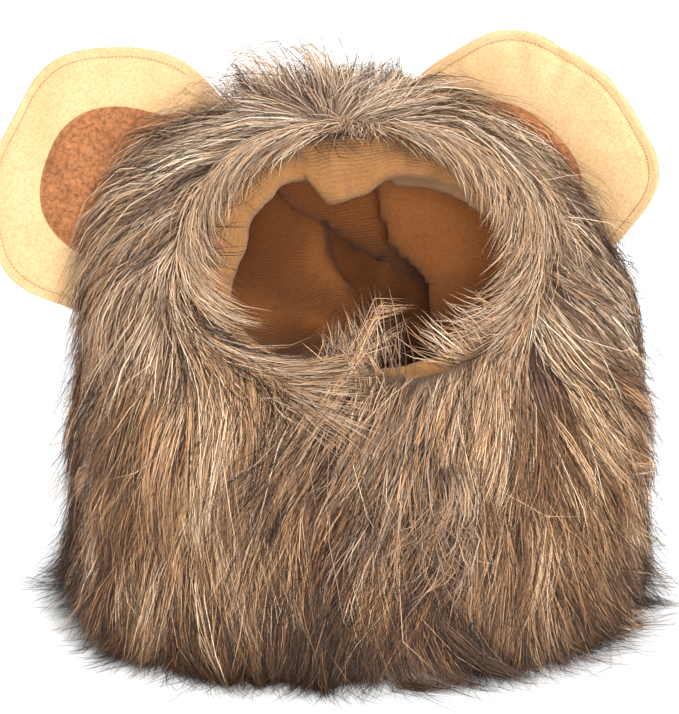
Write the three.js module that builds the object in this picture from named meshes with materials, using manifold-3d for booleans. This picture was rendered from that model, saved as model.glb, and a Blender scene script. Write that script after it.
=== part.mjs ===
// A lion mane for a cat or a small dog: a soft fur hood with a face opening and two plush ears.
// Two fur halves meet in a seam over the crown, lap under the chin and close with a fastener strip.
// A plush lining covers the inside and rolls out round the face opening.
// Millimetres, +Z up, the face looks towards -Y. The origin is on the floor below the hood's middle.
import * as THREE from "three";
import { mergeVertices } from "three/addons/utils/BufferGeometryUtils.js";
import Module from "manifold-3d";

// The fabric hood
const bodyWidth = 212; // side to side
const bodyDepth = 178; // front to back
const crownHeight = 219; // floor to the top of the fabric
const hemHeight = 31; // floor to the fabric's lower edge, which the fur hides

// The face opening, measured at the fur fabric's edge
const faceWidth = 141;
const faceHeight = 108; // along the opening's own slope
const faceSlope = 62; // degrees up from the floor
const faceRise = 166; // floor to the opening's centre
const faceForward = 52; // the opening's centre ahead of the hood's middle

// Walls
const backing = 2; // woven back of the fur fabric
const pileDepth = 18; // how far the combed fur stands off its backing
const crushedPile = 3; // fur flattened under the chin flap
const liningWall = 1.8; // short plush
const clearance = 0.5; // between layers that lie on each other
const seamGap = 0.3; // between the two halves over the crown

// The chin closure. Angles run round the hood from the chin, up its right side as seen from the front.
const flapTopAngle = 15; // where the flap's edge leaves the face opening
const flapHemAngle = 23; // where the flap's edge meets the hem
const closureLap = 34; // how far the flap covers the other half
const flapRamp = 20; // degrees over which the flap climbs onto the other half
const flapFur = 0.62; // share of the pile left on the flap
const furRise = 11; // degrees over which flattened fur beside the flap recovers its depth
const stripThickness = 2.4;
const stripInset = 5.5; // from each edge of the lap
const stripTop = 0.14; // as shares of the way from the face opening down to the hem
const stripBottom = 0.92;

// The lining's rolled edge and loose folds
const rollWidth = 17; // widest part of the roll, above the face
const rollDepth = 13;
const rollBulge = 2;
const rollEase = 1.2; // extra room between the fabrics just behind the roll
const foldDepth = 30; // deepest fold, behind the face opening
const foldWidth = 30;

// Ears
const earWidth = 116;
const earHeight = 100;
const earThickness = 9;
const earEdge = 2.4; // sewn edge
const earCup = 6; // how far the ear's sides curl forward
const earSquareness = 2.5;
const innerWidth = 80; // curly patch on the ear's front
const innerHeight = 82;
const innerThickness = 2.4;
const innerDrop = 12; // patch centre below the ear's centre
const innerGap = 0.5; // between the patch and the ear

// Locks of fur
const lockWidth = 27;
const lockLength = 56;
const lockCrest = 6.5; // highest part of a lock above the fur's face

const radians = THREE.MathUtils.degToRad;
const { lerp, clamp, smoothstep } = THREE.MathUtils;

// Turns a table's rows into objects with the columns' names.
function table(columns, rows) {
  return rows.map((row) => Object.fromEntries(columns.map((name, i) => [name, row[i]])));
}

// Sections of the hood from the face opening (down 0) to the hem (down 1). Each one is a ring with a
// front point under the chin and a back point over the crown. "out" columns are shares of half the
// depth or width, and "rise" columns are shares of the height from the hem to the crown.
const sections = table(
  ["down", "frontOut", "frontRise", "backOut", "backRise", "sideOut", "squareness"],
  [
    [0.0, 0, 0, 0, 0, 0, 2.15], // the face opening, from its own sizes
    [0.1, -0.95, 0.406, -0.05, 1.006, 0.8, 2.2],
    [0.26, -1.0, 0.336, 0.36, 0.994, 0.91, 2.3],
    [0.42, -1.01, 0.278, 0.7, 0.883, 0.965, 2.4],
    [0.58, -1.01, 0.214, 0.92, 0.65, 0.99, 2.5],
    [0.76, -1.01, 0.132, 1.0, 0.348, 1.0, 2.6],
    [1.0, -1.01, 0, 1.01, 0, 1.01, 2.7],
  ],
);

// The same sections in millimetres.
const faceUp = new THREE.Vector3(0, Math.cos(radians(faceSlope)), Math.sin(radians(faceSlope)));
const faceOut = new THREE.Vector3(0, -faceUp.z, faceUp.y);
const faceCentre = new THREE.Vector3(0, -faceForward, faceRise);
const rings = sections.map((row) => ({
  down: row.down,
  frontY: (row.frontOut * bodyDepth) / 2,
  frontZ: lerp(hemHeight, crownHeight, row.frontRise),
  backY: (row.backOut * bodyDepth) / 2,
  backZ: lerp(hemHeight, crownHeight, row.backRise),
  side: (row.sideOut * bodyWidth) / 2,
  squareness: row.squareness,
}));
Object.assign(rings[0], {
  frontY: faceCentre.y - (faceUp.y * faceHeight) / 2,
  frontZ: faceCentre.z - (faceUp.z * faceHeight) / 2,
  backY: faceCentre.y + (faceUp.y * faceHeight) / 2,
  backZ: faceCentre.z + (faceUp.z * faceHeight) / 2,
  side: faceWidth / 2,
});

// Smooth curve through one column of a table, read at a place along its first column.
function smooth(rows, along, column, place) {
  const last = rows.length - 1;
  const x = (i) => rows[clamp(i, 0, last)][along];
  const y = (i) => rows[clamp(i, 0, last)][column];
  const slope = (i) => (y(i + 1) - y(i - 1)) / (x(i + 1) - x(i - 1));
  const at = clamp(place, x(0), x(last));
  const i = clamp(rows.findIndex((row) => row[along] > at) - 1, 0, last);
  const j = at >= x(last) ? last - 1 : i;
  const span = x(j + 1) - x(j);
  const t = (at - x(j)) / span;
  return (
    (1 + 2 * t) * (1 - t) ** 2 * y(j) +
    t * (1 - t) ** 2 * span * slope(j) +
    t * t * (3 - 2 * t) * y(j + 1) +
    t * t * (t - 1) * span * slope(j + 1)
  );
}

// Below the hem the fur carries on straight down, and reaches the floor here.
const floorDown = 1.2;

// Point on the inner face of the fur fabric. Around is in degrees.
function skin(around, down) {
  const ring = (column) => smooth(rings, "down", column, down);
  const s = Math.sin(radians(around));
  const c = Math.cos(radians(around));
  const n = ring("squareness");
  const reach = (Math.abs(s) ** n + Math.abs(c) ** n) ** (-1 / n);
  const mix = (1 - reach * c) / 2;
  const z = lerp(ring("frontZ"), ring("backZ"), mix);
  const drop = down > 1 ? (z * (down - 1)) / (floorDown - 1) : 0;
  return new THREE.Vector3(ring("side") * reach * s, lerp(ring("frontY"), ring("backY"), mix), z - drop);
}

// The skin's directions at a point: round the hood, down it, and out of it, with their lengths.
function directions(around, down) {
  const step = 0.002;
  const low = down > 1 ? 1 : Math.max(down - step, 0);
  const high = down > 1 ? down : Math.min(down + step, 1);
  const sideways = skin(around + 1, down).sub(skin(around - 1, down)).divideScalar(2);
  const downwards = skin(around, Math.max(high, low + step)).sub(skin(around, low));
  downwards.divideScalar(Math.max(high, low + step) - low);
  const out = new THREE.Vector3().crossVectors(downwards, sideways).normalize();
  return { sideways, downwards, out };
}

function onSkin(around, down, offset) {
  const { out } = directions(around, Math.min(down, 1));
  if (down > 1) out.setZ(0).normalize();
  return skin(around, down).addScaledVector(out, offset);
}

// The chin flap. Its edge slants, so each level has its own angles.
const lapAngle = THREE.MathUtils.radToDeg(closureLap / (bodyWidth / 2));
const flapEdge = (down) => lerp(flapTopAngle, flapHemAngle, clamp(down, 0, 1));
const coveredEdge = (down) => flapEdge(down) - lapAngle;
const lapMargin = 2; // degrees of full lift before the covered edge
const flapLift = backing + crushedPile + stripThickness + liningWall + 3 * clearance;
const lift = (around, down) => {
  const end = 360 + coveredEdge(down) - lapMargin;
  return flapLift * smoothstep(around, end - flapRamp, end);
};

// Stations along the strip of fabric: from the covered edge over the crown seam to the flap's edge.
// Each stretch has an end, given as an angle at the level asked for, and its own number of steps.
const backCrowding = 1.35; // closer stations at the back, where the lining's folds are
const stretches = [
  { end: (down) => flapEdge(down) + 1, steps: 3, crowding: 1 },
  { end: () => 180, steps: 19, crowding: backCrowding },
  { end: (down) => 360 + coveredEdge(down) - lapMargin - flapRamp, steps: 16, crowding: 1 / backCrowding },
  { end: (down) => 360 + coveredEdge(down) - lapMargin, steps: 3, crowding: 1 },
  { end: (down) => 360 + flapEdge(down), steps: 3, crowding: 1 },
];
const seamStation = 22; // steps up to the crown seam
const lastStation = 44;
function aroundAt(station, down) {
  let from = coveredEdge(down);
  let left = station;
  for (const stretch of stretches) {
    const end = stretch.end(down);
    if (left <= stretch.steps) {
      const share = left / stretch.steps;
      return lerp(from, end, stretch.crowding > 1 ? 1 - (1 - share) ** stretch.crowding : share ** (1 / stretch.crowding));
    }
    from = end;
    left -= stretch.steps;
  }
  return from;
}
const levels = [0, 0.07, 0.14, 0.24, 0.34, 0.44, 0.54, 0.64, 0.74, 0.84, 0.92, 1];

// Depth of the combed fur from the face opening to the floor, as a share of pileDepth.
const pileLevels = table(
  ["down", "share"],
  [
    [0, 0.35],
    [0.1, 0.72],
    [0.26, 0.92],
    [0.5, 1],
    [0.8, 1.05],
    [1, 1.12],
    [floorDown, 1.3],
  ],
);

function pile(around, down) {
  const full = pileDepth * smooth(pileLevels, "down", "share", down);
  const flap = flapEdge(down);
  if (around <= 180) return lerp(crushedPile, full, smoothstep(around, flap + 1, flap + 1 + furRise));
  const onFlap = smoothstep(around, 360 + coveredEdge(down) - flapRamp, 360 + flap);
  return full * lerp(1, flapFur, onFlap);
}
const furFace = (around, down) => backing + pile(around, down) + lift(around, down);

// Loose folds in the lining. Each ridge runs between two places (around in degrees, down as a share).
// Depth and widths are shares of foldDepth and foldWidth. For a ridge that runs down, "low" is its
// width towards lower angles and "high" towards higher ones.
const folds = table(
  ["aroundA", "downA", "aroundB", "downB", "depth", "low", "high"],
  [
    [166, 0.36, 159, 0.95, 1.0, 0.9, 0.7],
    [205, 0.42, 182, 0.6, 0.55, 0.9, 0.8],
    [208, 0.62, 190, 0.86, 0.8, 0.8, 0.9],
    [232, 0.38, 226, 1.0, 0.4, 0.5, 0.6],
    [262, 0.4, 266, 1.0, 0.2, 0.45, 0.45],
    [300, 0.35, 296, 0.95, 0.18, 0.45, 0.45],
    [128, 0.4, 122, 1.0, 0.34, 0.5, 0.45],
    [92, 0.35, 96, 1.0, 0.2, 0.45, 0.45],
    [58, 0.35, 62, 0.95, 0.18, 0.45, 0.45],
  ],
);
const foldLevelLength = 190; // average way from the face opening down to the hem
const foldEnd = 0.12; // share of the way over which a fold fades in and out
const foldedStations = 4; // stations on each side of the crown seam where the lining has half steps

function foldAt(around, down) {
  const perDegree = radians(1) * (bodyWidth / 2);
  let deepest = 0;
  for (const fold of folds) {
    const a = new THREE.Vector2(fold.aroundA * perDegree, fold.downA * foldLevelLength);
    const b = new THREE.Vector2(fold.aroundB * perDegree, fold.downB * foldLevelLength);
    const ridge = b.clone().sub(a);
    const length = ridge.length();
    const place = new THREE.Vector2(around * perDegree, down * foldLevelLength).sub(a);
    const along = place.dot(ridge) / length;
    const beside = place.cross(ridge) / length; // positive towards higher angles
    const fade = foldEnd * foldLevelLength;
    const inside = smoothstep(along, -fade, fade) * (1 - smoothstep(along, length - fade, length + fade));
    const width = foldWidth * (beside > 0 ? fold.high : fold.low);
    deepest = Math.max(deepest, fold.depth * inside * Math.exp(-((beside / width) ** 2)));
  }
  return foldDepth * deepest;
}

// Width of the lining's roll round the face opening, as a share of rollWidth.
const rollAngles = table(
  ["around", "share"],
  [
    [-10, 0.2],
    [30, 0.25],
    [70, 0.3],
    [110, 0.5],
    [150, 0.85],
    [180, 1],
    [215, 1.1],
    [250, 1],
    [285, 0.6],
    [320, 0.22],
    [382, 0.2],
  ],
);

// The middle of the lining's wall along one station: from the fur's edge over the roll, back behind it,
// then down to the hem.
function liningLine(station, downs) {
  const around = aroundAt(station, 0);
  const share = smooth(rollAngles, "around", "share", around);
  const inset = clearance + liningWall / 2;
  const rim = onSkin(around, 0, lift(around, 0));
  const inwards = faceCentre.clone().sub(rim).normalize();
  const back = rollDepth * lerp(0.3, 1, Math.min(share, 1));
  const roll = (inward, forward) =>
    rim
      .clone()
      .addScaledVector(inwards, 1.7 * inset + inward * rollWidth * share)
      .addScaledVector(faceOut, forward);
  const points = [
    roll(0, 0),
    roll(0.5, rollBulge),
    roll(0.93, rollBulge * 0.5),
    roll(0.95, -0.4 * back),
    roll(0.35, -back),
  ];
  // The flap has no roll: there the same points run straight down the wall.
  const flat = lift(around, 0) / flapLift;
  const wall = (down) => {
    const place = aroundAt(station, down);
    const ease = rollEase * (1 - flat ** 4) * (1 - smoothstep(down, 0.07, 0.4));
    return onSkin(place, down, lift(place, down) - inset - ease - foldAt(place, down));
  };
  points.forEach((point, i) => point.lerp(wall((i / points.length) * downs[0]), flat));
  return [...points, ...downs.map(wall)];
}

// Closed geometry from two grids of points that face each other. Grids are lists of rows, and the
// first grid is the one that looks outwards.
function slab(outer, inner) {
  const rows = outer.length;
  const columns = outer[0].length;
  const positions = [...outer.flat(), ...inner.flat()].flatMap((p) => [p.x, p.y, p.z]);
  const at = (side, row, column) => side * rows * columns + row * columns + column;
  const faces = [];
  const quad = (a, b, c, d) => faces.push(a, b, c, a, c, d);
  for (let r = 0; r + 1 < rows; r++)
    for (let c = 0; c + 1 < columns; c++) {
      quad(at(0, r, c), at(0, r + 1, c), at(0, r + 1, c + 1), at(0, r, c + 1));
      quad(at(1, r, c + 1), at(1, r + 1, c + 1), at(1, r + 1, c), at(1, r, c));
    }
  for (let r = 0; r + 1 < rows; r++) {
    quad(at(1, r, 0), at(1, r + 1, 0), at(0, r + 1, 0), at(0, r, 0));
    quad(at(0, r, columns - 1), at(0, r + 1, columns - 1), at(1, r + 1, columns - 1), at(1, r, columns - 1));
  }
  for (let c = 0; c + 1 < columns; c++) {
    quad(at(0, 0, c), at(0, 0, c + 1), at(1, 0, c + 1), at(1, 0, c));
    quad(at(0, rows - 1, c + 1), at(0, rows - 1, c), at(1, rows - 1, c), at(1, rows - 1, c + 1));
  }
  return geometryOf(positions, faces);
}

// Closed geometry from rings of points, with a flat face over each end. Points run anticlockwise seen
// from the end that the rings move towards.
function tube(ringsOfPoints) {
  const count = ringsOfPoints[0].length;
  const last = (ringsOfPoints.length - 1) * count;
  const faces = [];
  for (let r = 0; r < last; r += count)
    for (let i = 0; i < count; i++) {
      const j = (i + 1) % count;
      faces.push(r + i, r + j, r + count + j, r + i, r + count + j, r + count + i);
    }
  for (let i = 1; i + 1 < count; i++) faces.push(0, i + 1, i, last, last + i, last + i + 1);
  return geometryOf(
    ringsOfPoints.flat().flatMap((p) => [p.x, p.y, p.z]),
    faces,
  );
}

function geometryOf(positions, faces) {
  const geometry = new THREE.BufferGeometry();
  geometry.setAttribute("position", new THREE.Float32BufferAttribute(positions, 3));
  geometry.setIndex(faces);
  return geometry;
}

// Joining and cutting
const wasm = await Module();
wasm.setup();

function solidOf(geometry) {
  const bare = geometry.clone();
  for (const name of ["normal", "uv"]) bare.deleteAttribute(name);
  const merged = mergeVertices(bare, 1e-4);
  return new wasm.Manifold(
    new wasm.Mesh({
      numProp: 3,
      vertProperties: new Float32Array(merged.attributes.position.array),
      triVerts: new Uint32Array(merged.index.array),
    }),
  );
}

function geometryFrom(solid) {
  const mesh = solid.getMesh();
  return geometryOf(Array.from(mesh.vertProperties), Array.from(mesh.triVerts));
}

function box(low, high) {
  const size = high.clone().sub(low);
  const shape = new THREE.BoxGeometry(size.x, size.y, size.z);
  shape.translate(...low.clone().add(high).divideScalar(2).toArray());
  return solidOf(shape);
}

// The hood filled solid, out to an offset from its skin, with the lining's roll: what an ear's foot is
// cut to fit.
function hoodBlock(offset) {
  const loop = (down, forward) => {
    const points = [];
    for (let around = 0; around < 360; around += 7.5)
      points.push(onSkin(around, down, offset).addScaledVector(faceOut, forward));
    return points;
  };
  const overRoll = rollBulge + liningWall + offset;
  const upwards = levels.map((down) => loop(down, 0)).reverse();
  return solidOf(tube([...upwards, loop(0, overRoll)]));
}

// Ears. Both are the same cut, sewn on at different angles. Centres are shares of half the hood's
// width and depth and of its height. Heading turns from the right side up towards the top, lean tips
// the ear forward, and yaw turns its front to the side.
const earPlaces = {
  left: { side: -0.99, back: -0.07, rise: 0.854, heading: 160, lean: 6, yaw: -14 },
  right: { side: 0.755, back: 0, rise: 0.94, heading: 47, lean: 27, yaw: 12 },
};

// Distance from the ear's centre to its edge, as seen from the front.
function earReach(x, y, halfWidth, halfHeight) {
  const n = earSquareness;
  return (Math.abs(x / halfWidth) ** n + Math.abs(y / halfHeight) ** n) ** (1 / n);
}

// Height of the ear's front face (side 1) or back face (side -1) over its middle plane.
function earFace(x, y, side, grow) {
  const share = Math.min(earReach(x, y, earWidth / 2 + grow, earHeight / 2 + grow), 1);
  const half = lerp(earThickness, earEdge, share ** 3) / 2 + grow;
  return earCup * ((2 * x) / earWidth) ** 2 + side * half;
}

// Rings over one face of a rounded plate, from its middle to its edge.
function plateRings(halfWidth, halfHeight, centreY, shares, count, height) {
  return shares.map((share) => {
    const ring = [];
    for (let i = 0; i < count; i++) {
      const angle = (i / count) * 2 * Math.PI;
      const [x, y] = [Math.cos(angle), Math.sin(angle)];
      const scale = share / earReach(x, y, halfWidth, halfHeight);
      const [px, py] = [x * scale, y * scale + centreY];
      ring.push(new THREE.Vector3(px, py, height(px, py)));
    }
    return ring;
  });
}

const plateShares = [0.14, 0.5, 0.78, 0.94, 1];

function earShape(grow) {
  const args = [earWidth / 2 + grow, earHeight / 2 + grow, 0, plateShares, 20];
  const front = plateRings(...args, (x, y) => earFace(x, y, 1, grow));
  const back = plateRings(...args, (x, y) => earFace(x, y, -1, grow));
  return tube([...back, ...front.reverse()]);
}

function innerEarShape(grow) {
  const height = (side) => (x, y) =>
    earFace(x, y, 1, 0) + innerGap + (side > 0 ? innerThickness + grow : -grow);
  const args = [innerWidth / 2 + grow, innerHeight / 2 + grow, -innerDrop, [0.2, 0.62, 1], 16];
  const back = plateRings(...args, height(-1));
  const front = plateRings(...args, height(1));
  return tube([...back, ...front.reverse()]);
}

// Where an ear stands. Its lower part reaches into the hood and is cut away there.
function earFrame(place) {
  const heading = radians(place.heading);
  const lean = radians(place.lean);
  const up = new THREE.Vector3(
    Math.cos(heading) * Math.cos(lean),
    -Math.sin(lean),
    Math.sin(heading) * Math.cos(lean),
  );
  const facing = new THREE.Vector3(Math.sin(radians(place.yaw)), -Math.cos(radians(place.yaw)), 0.25);
  const across = new THREE.Vector3().crossVectors(up, facing).normalize();
  const front = new THREE.Vector3().crossVectors(across, up).normalize();
  return new THREE.Matrix4()
    .makeBasis(across, up, front)
    .setPosition((place.side * bodyWidth) / 2, (place.back * bodyDepth) / 2, place.rise * crownHeight);
}

// The covered-edge half is on the right, the flap half on the left, as seen from the front.
const halves = {
  right: { from: 0, to: seamStation, sign: 1, firstLock: 3.8 },
  left: { from: seamStation, to: lastStation, sign: -1, firstLock: 42.9 },
};

// The fur half without its locks: backing and combed pile as one wall that stands on the floor.
function furWall(half) {
  const stations = [];
  for (let i = half.from; i <= half.to; i++) stations.push(i);
  const grid = (offset) =>
    [...levels, floorDown].map((down) =>
      stations.map((station) => {
        const around = aroundAt(station, down);
        const point = onSkin(around, down, offset(around, down));
        if (Math.abs(around - 180) < 90) point.x = half.sign * Math.max(half.sign * point.x, seamGap / 2);
        return point;
      }),
    );
  return solidOf(slab(grid(furFace), grid((around, down) => lift(around, down))));
}

// How the fur is combed: degrees that a lock turns from straight down the hood towards higher angles.
const combing = table(
  ["around", "down", "turn"],
  [
    [195, 0.02, 62],
    [215, 0.05, 40],
    [240, 0.05, 28],
    [268, 0.03, 55],
    [300, 0.02, 62],
    [330, 0.03, 38],
    [350, 0.05, -15],
    [360, 0.25, -30],
    [345, 0.45, -22],
    [372, 0.5, 4],
    [315, 0.45, 6],
    [270, 0.5, 0],
    [180, 0.7, 0],
    [165, 0.02, -62],
    [145, 0.05, -46],
    [115, 0.06, -30],
    [85, 0.03, -22],
    [55, 0.03, -30],
    [30, 0.05, -24],
    [50, 0.45, -4],
    [90, 0.5, 0],
  ],
);

function combedTurn(around, down) {
  let total = 0;
  let weights = 0;
  for (const row of combing) {
    const apart = ((around - row.around) / 22) ** 2 + ((down - row.down) / 0.16) ** 2;
    const weight = 1 / (apart + 0.15) ** 2;
    total += weight * row.turn;
    weights += weight;
  }
  return total / weights;
}

// One lock: a pointed wedge with a crest, rooted in the pile and combed over it. Its base and crest
// stand off the fur's face by shares of lockCrest.
const lockSections = table(
  ["along", "width", "base", "crest"],
  [
    [0, 0.6, -0.7, -0.23],
    [0.28, 1, -0.38, 0.77],
    [0.72, 0.7, -0.23, 1],
    [1, 0.1, 0.18, 0.46],
  ],
);

function lock(around, down, scale) {
  const place = { around, down };
  let travelled = 0;
  const loops = lockSections.map((row) => {
    const step = (row.along - travelled) * lockLength * scale;
    const turn = radians(combedTurn(place.around, place.down));
    const here = directions(place.around, place.down);
    place.around += (step * Math.sin(turn)) / here.sideways.length();
    place.down += (step * Math.cos(turn)) / here.downwards.length();
    travelled = row.along;
    const { sideways, downwards, out } = directions(place.around, place.down);
    const face = onSkin(place.around, place.down, furFace(place.around, place.down));
    const ahead = sideways.normalize().multiplyScalar(Math.sin(turn));
    ahead.addScaledVector(downwards.normalize(), Math.cos(turn));
    const across = new THREE.Vector3().crossVectors(out, ahead).normalize();
    const halfWidth = (row.width * lockWidth * scale) / 2;
    const base = face.clone().addScaledVector(out, row.base * lockCrest);
    return [
      base.clone().addScaledVector(across, halfWidth),
      face.addScaledVector(out, row.crest * lockCrest),
      base.clone().addScaledVector(across, -halfWidth),
    ];
  });
  return solidOf(tube(loops));
}

// Tiers of locks on each half, spread between "from" and "to", which run from the chin (0) to the
// crown seam (1).
const tiers = table(
  ["down", "count", "from", "to", "scale"],
  [
    [0.03, 5, 0, 0.93, 0.85],
    [0.21, 5, 0.06, 0.88, 1.05],
    [0.4, 5, 0, 0.94, 1.15],
    [0.58, 5, 0.08, 0.88, 1.15],
    [0.74, 6, 0, 0.94, 1],
    [0.88, 6, 0.07, 0.9, 1],
  ],
);

function furHalf(half, keepClear, socket) {
  let fur = furWall(half);
  for (const tier of tiers)
    for (let i = 0; i < tier.count; i++) {
      const share = lerp(tier.from, tier.to, i / (tier.count - 1));
      const station = lerp(half.firstLock, seamStation, share);
      const wedge = lock(aroundAt(station, tier.down), tier.down, tier.scale);
      if (keepClear.every((other) => wedge.intersect(other).isEmpty())) fur = fur.add(wedge);
    }
  const reach = bodyWidth + bodyDepth;
  const past = half.sign * (seamGap / 2);
  const otherSide = box(
    new THREE.Vector3(Math.min(past, past - half.sign * reach), -faceForward / 2, 0),
    new THREE.Vector3(Math.max(past, past - half.sign * reach), reach, 2 * crownHeight),
  );
  const below = box(new THREE.Vector3(-reach, -reach, -reach), new THREE.Vector3(reach, reach, 0));
  const cut = fur.subtract(otherSide).subtract(below).subtract(socket);
  return cut.decompose().reduce((most, body) => (body.volume() > most.volume() ? body : most));
}

// Lining: one wall of short plush with a rolled edge and loose folds.
function liningShape() {
  const downs = levels.slice(1);
  const stations = [];
  for (let i = 0; i <= lastStation; i++) {
    stations.push(i);
    if (Math.abs(i + 0.5 - seamStation) < foldedStations) stations.push(i + 0.5);
  }
  const columns = stations.map((station) => liningLine(station, downs));
  const middle = columns[0].map((_, row) => columns.map((column) => column[row]));
  return wallOf(middle, liningWall);
}

// A wall of even thickness about a grid of points.
function wallOf(middle, thickness) {
  const rows = middle.length;
  const columns = middle[0].length;
  const at = (r, c) => middle[clamp(r, 0, rows - 1)][clamp(c, 0, columns - 1)];
  const face = (side) =>
    middle.map((row, r) =>
      row.map((point, c) => {
        const down = at(r + 1, c).clone().sub(at(r - 1, c));
        const round = at(r, c + 1).clone().sub(at(r, c - 1));
        const out = new THREE.Vector3().crossVectors(down, round).normalize();
        return point.clone().addScaledVector(out, (side * thickness) / 2);
      }),
    );
  return slab(face(1), face(-1));
}

// Fastener strip between the chin flap and the flattened fur that it covers.
function stripShape() {
  const downs = levels.filter((down) => down >= stripTop && down <= stripBottom);
  const steps = [0, 0.25, 0.5, 0.75, 1];
  const insetAngle = THREE.MathUtils.radToDeg(stripInset / (bodyWidth / 2));
  const grid = (offset) =>
    downs.map((down) =>
      steps.map((share) => {
        const edge = flapEdge(down);
        const around = lerp(coveredEdge(down) + insetAngle, edge - insetAngle, share);
        return onSkin(around, down, offset);
      }),
    );
  const seat = backing + crushedPile + clearance;
  return slab(grid(seat + stripThickness), grid(seat));
}

const materials = {
  fur: new THREE.MeshStandardMaterial({ color: 0x8f7355, roughness: 0.85 }),
  lining: new THREE.MeshStandardMaterial({ color: 0xc08a4e, roughness: 0.9 }),
  ear: new THREE.MeshStandardMaterial({ color: 0xf3cf8a, roughness: 0.9 }),
  innerEar: new THREE.MeshStandardMaterial({ color: 0x9a5a2f, roughness: 1 }),
  strip: new THREE.MeshStandardMaterial({ color: 0x6b4a2c, roughness: 0.8 }),
};

const mane = new THREE.Group();
function piece(name, geometry, material) {
  const mesh = new THREE.Mesh(geometry, material);
  mesh.name = name;
  mane.add(mesh);
}

const earFoot = hoodBlock(backing + seamGap);
const earSlot = hoodBlock(backing);
const sockets = {};
for (const side of ["left", "right"]) {
  const frame = earFrame(earPlaces[side]);
  const ear = solidOf(earShape(0).applyMatrix4(frame)).subtract(earFoot);
  const inner = solidOf(innerEarShape(0).applyMatrix4(frame)).subtract(earFoot);
  const around = solidOf(innerEarShape(seamGap).applyMatrix4(frame));
  sockets[side] = solidOf(earShape(seamGap).applyMatrix4(frame)).add(around).subtract(earSlot);
  piece(`ear_${side}`, geometryFrom(ear), materials.ear);
  piece(`inner_ear_${side}`, geometryFrom(inner), materials.innerEar);
}

const lining = solidOf(liningShape());
const strip = solidOf(stripShape());
const walls = { right: furWall(halves.right), left: furWall(halves.left) };
for (const [side, other] of [
  ["left", "right"],
  ["right", "left"],
]) {
  const fur = furHalf(halves[side], [walls[other], lining, strip], sockets[side]);
  piece(`mane_${side}`, geometryFrom(fur), materials.fur);
}
piece("lining", geometryFrom(lining), materials.lining);
piece("closure_strip", geometryFrom(strip), materials.strip);

// The origin goes to the middle of the whole object's box, on the floor.
const bounds = new THREE.Box3().setFromObject(mane);
const middle = bounds.getCenter(new THREE.Vector3());
for (const mesh of mane.children) mesh.geometry.translate(-middle.x, -middle.y, -bounds.min.z);

export default mane;
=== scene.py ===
# A lion mane for a pet: a hood of long fur with a plush lining, a rolled face opening and two plush ears.
# Lengths are in millimetres until a mesh is made. Angles run round the hood from the chin, up its +X side
# and over the crown seam at 180 to the chin again. Down runs from the face opening, 0, to the hem, 1.
import math

import bmesh
import bpy
import numpy as np
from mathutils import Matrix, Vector
from mathutils.kdtree import KDTree


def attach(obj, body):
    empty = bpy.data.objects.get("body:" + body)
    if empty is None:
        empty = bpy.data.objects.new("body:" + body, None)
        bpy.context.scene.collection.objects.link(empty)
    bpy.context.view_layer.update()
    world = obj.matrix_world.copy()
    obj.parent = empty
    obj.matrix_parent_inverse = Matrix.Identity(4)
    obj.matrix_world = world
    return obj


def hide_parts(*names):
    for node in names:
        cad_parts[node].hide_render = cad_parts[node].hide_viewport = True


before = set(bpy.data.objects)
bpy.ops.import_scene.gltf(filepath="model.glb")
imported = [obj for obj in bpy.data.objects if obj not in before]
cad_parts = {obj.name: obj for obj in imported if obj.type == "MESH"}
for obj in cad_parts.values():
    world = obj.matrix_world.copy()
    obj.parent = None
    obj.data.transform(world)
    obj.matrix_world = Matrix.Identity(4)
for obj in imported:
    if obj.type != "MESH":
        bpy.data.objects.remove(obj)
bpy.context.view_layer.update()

metre = 0.001
hood_place = np.array((10.526, 4.680, 0.0))
photo_size = (679, 714)

# The hood's own sizes
body_width = 212.0
body_depth = 178.0
crown_height = 219.0
hem_height = 31.0
face_width = 141.0
face_height = 108.0
face_slope = math.radians(62)
face_centre = np.array((0.0, -52.0, 166.0))
backing = 2.0
pile_depth = 18.0
lining_wall = 1.8
clearance = 0.5
flap_lift = 10.7
flap_ramp = 20.0
lap_angle = math.degrees(34 / (body_width / 2))
floor_down = 1.2

face_up = np.array((0.0, math.cos(face_slope), math.sin(face_slope)))
face_out = np.array((0.0, -face_up[2], face_up[1]))


def ease(value, low, high):
    share = np.clip((value - low) / (high - low), 0, 1)
    return share * share * (3 - 2 * share)


def blend(a, b, share):
    return a + (b - a) * share


def unit(vectors):
    return vectors / np.maximum(np.linalg.norm(vectors, axis=-1, keepdims=True), 1e-9)


def hermite(a, b, slope_a, slope_b, share):
    """A smooth run from one value to the next, by the slopes at both."""
    value = (1 + 2 * share) * (1 - share) ** 2 * a + share * (1 - share) ** 2 * slope_a
    return value + share * share * (3 - 2 * share) * b + share * share * (share - 1) * slope_b


def smooth_column(rows, column, place, run_on=False):
    """A smooth curve through one column of a table, read at places along its first column."""
    x = rows[:, 0]
    y = rows[:, column]
    slope = np.empty(len(x))
    slope[1:-1] = (y[2:] - y[:-2]) / (x[2:] - x[:-2])
    slope[0] = (y[1] - y[0]) / (x[1] - x[0])
    slope[-1] = (y[-1] - y[-2]) / (x[-1] - x[-2])
    at = np.clip(place, x[0], x[-1])
    i = np.clip(np.searchsorted(x, at, side="right") - 1, 0, len(x) - 2)
    span = x[i + 1] - x[i]
    t = (at - x[i]) / span
    value = hermite(y[i], y[i + 1], span * slope[i], span * slope[i + 1], t)
    if run_on:
        value = value + np.minimum(np.asarray(place) - x[0], 0) * slope[0]
    return value


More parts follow.
